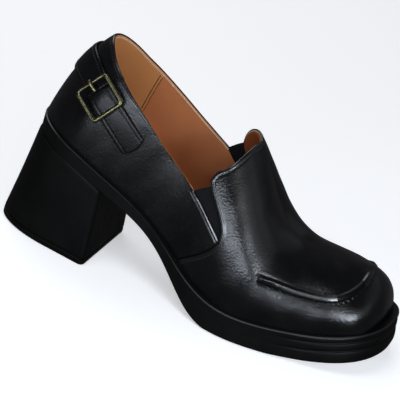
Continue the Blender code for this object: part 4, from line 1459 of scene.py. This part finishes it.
def make_floor():
    look = bpy.data.materials.new("pale_floor")
    look.use_nodes = True
    shader = look.node_tree.nodes["Principled BSDF"]
    for socket, value in FLOOR_LOOK.items():
        shader.inputs[socket].default_value = value
    mesh = bpy.data.meshes.new("floor")
    corners = ((-1, -1), (1, -1), (1, 1), (-1, 1))
    mesh.from_pydata([(x * FLOOR_SIZE, y * FLOOR_SIZE, -FLOOR_DROP) for x, y in corners], [], [(0, 1, 2, 3)])
    mesh.materials.append(look)
    floor = put("floor", mesh)
    floor.visible_glossy = False


def towards(azimuth, elevation):
    """Direction from the shoe, by the photo's angles in degrees."""
    a, e = math.radians(azimuth), math.radians(elevation)
    return np.array((math.sin(a) * math.cos(e), -math.cos(a) * math.cos(e), math.sin(e)))


def pose(place, back, roll):
    """Placing of a camera or a panel that looks away from the direction back, rolled by degrees."""
    level = unit(np.cross((0, 0, 1.0), back))
    upright = np.cross(back, level)
    angle = math.radians(roll)
    right = math.cos(angle) * level + math.sin(angle) * upright
    turn = np.stack((right, np.cross(back, right), back), -1)
    return Matrix.Translation(place) @ Matrix(turn.tolist()).to_4x4()


def make_studio():
    make_floor()
    for name, azimuth, elevation, distance, size, power, tilt, shape, colour, back in LIGHTS:
        data = bpy.data.lights.new(name, "AREA")
        data.color = colour
        data.shape = shape
        data.size, data.size_y = size
        data.energy = power
        place = towards(azimuth, elevation)
        back = place if back is None else unit(np.array(back))
        put(name, data).matrix_world = pose(place * distance, back, tilt)
    world = bpy.data.worlds.new("studio")
    world.use_nodes = True
    world.node_tree.nodes["Background"].inputs["Color"].default_value = WORLD_COLOUR
    bpy.context.scene.world = world
    bpy.context.scene.view_settings.view_transform = "Standard"


def make_camera():
    data = bpy.data.cameras.new("camera")
    data.sensor_width = SENSOR
    data.lens = CAMERA_SCALE * CAMERA_DISTANCE / PHOTO_SIZE * SENSOR
    data.shift_x = (PHOTO_SIZE / 2 - CAMERA_CENTRE[0]) / PHOTO_SIZE
    data.shift_y = (CAMERA_CENTRE[1] - PHOTO_SIZE / 2) / PHOTO_SIZE
    data.clip_start, data.clip_end = CAMERA_CLIP
    back = towards(CAMERA_AZIMUTH, CAMERA_ELEVATION)
    place = (np.array(CAMERA_TARGET) - ORIGIN + back * CAMERA_DISTANCE) * MM
    camera = put("camera", data)
    camera.matrix_world = pose(place, back, CAMERA_ROLL)
    bpy.context.scene.camera = camera


make_camera()
make_studio()
quarter_sheet = make_quarters()
vamp_sheet = make_vamp()
make_lining()
make_heel_lining()
make_edge_beads(quarter_sheet, vamp_sheet)
make_gores()
make_outsole()
make_heel()
make_insole()
make_straps()
make_buckle()
threads.make("stitches", THREAD_LOOK)
tan_threads.make("lining_stitches", TAN_THREAD_LOOK)
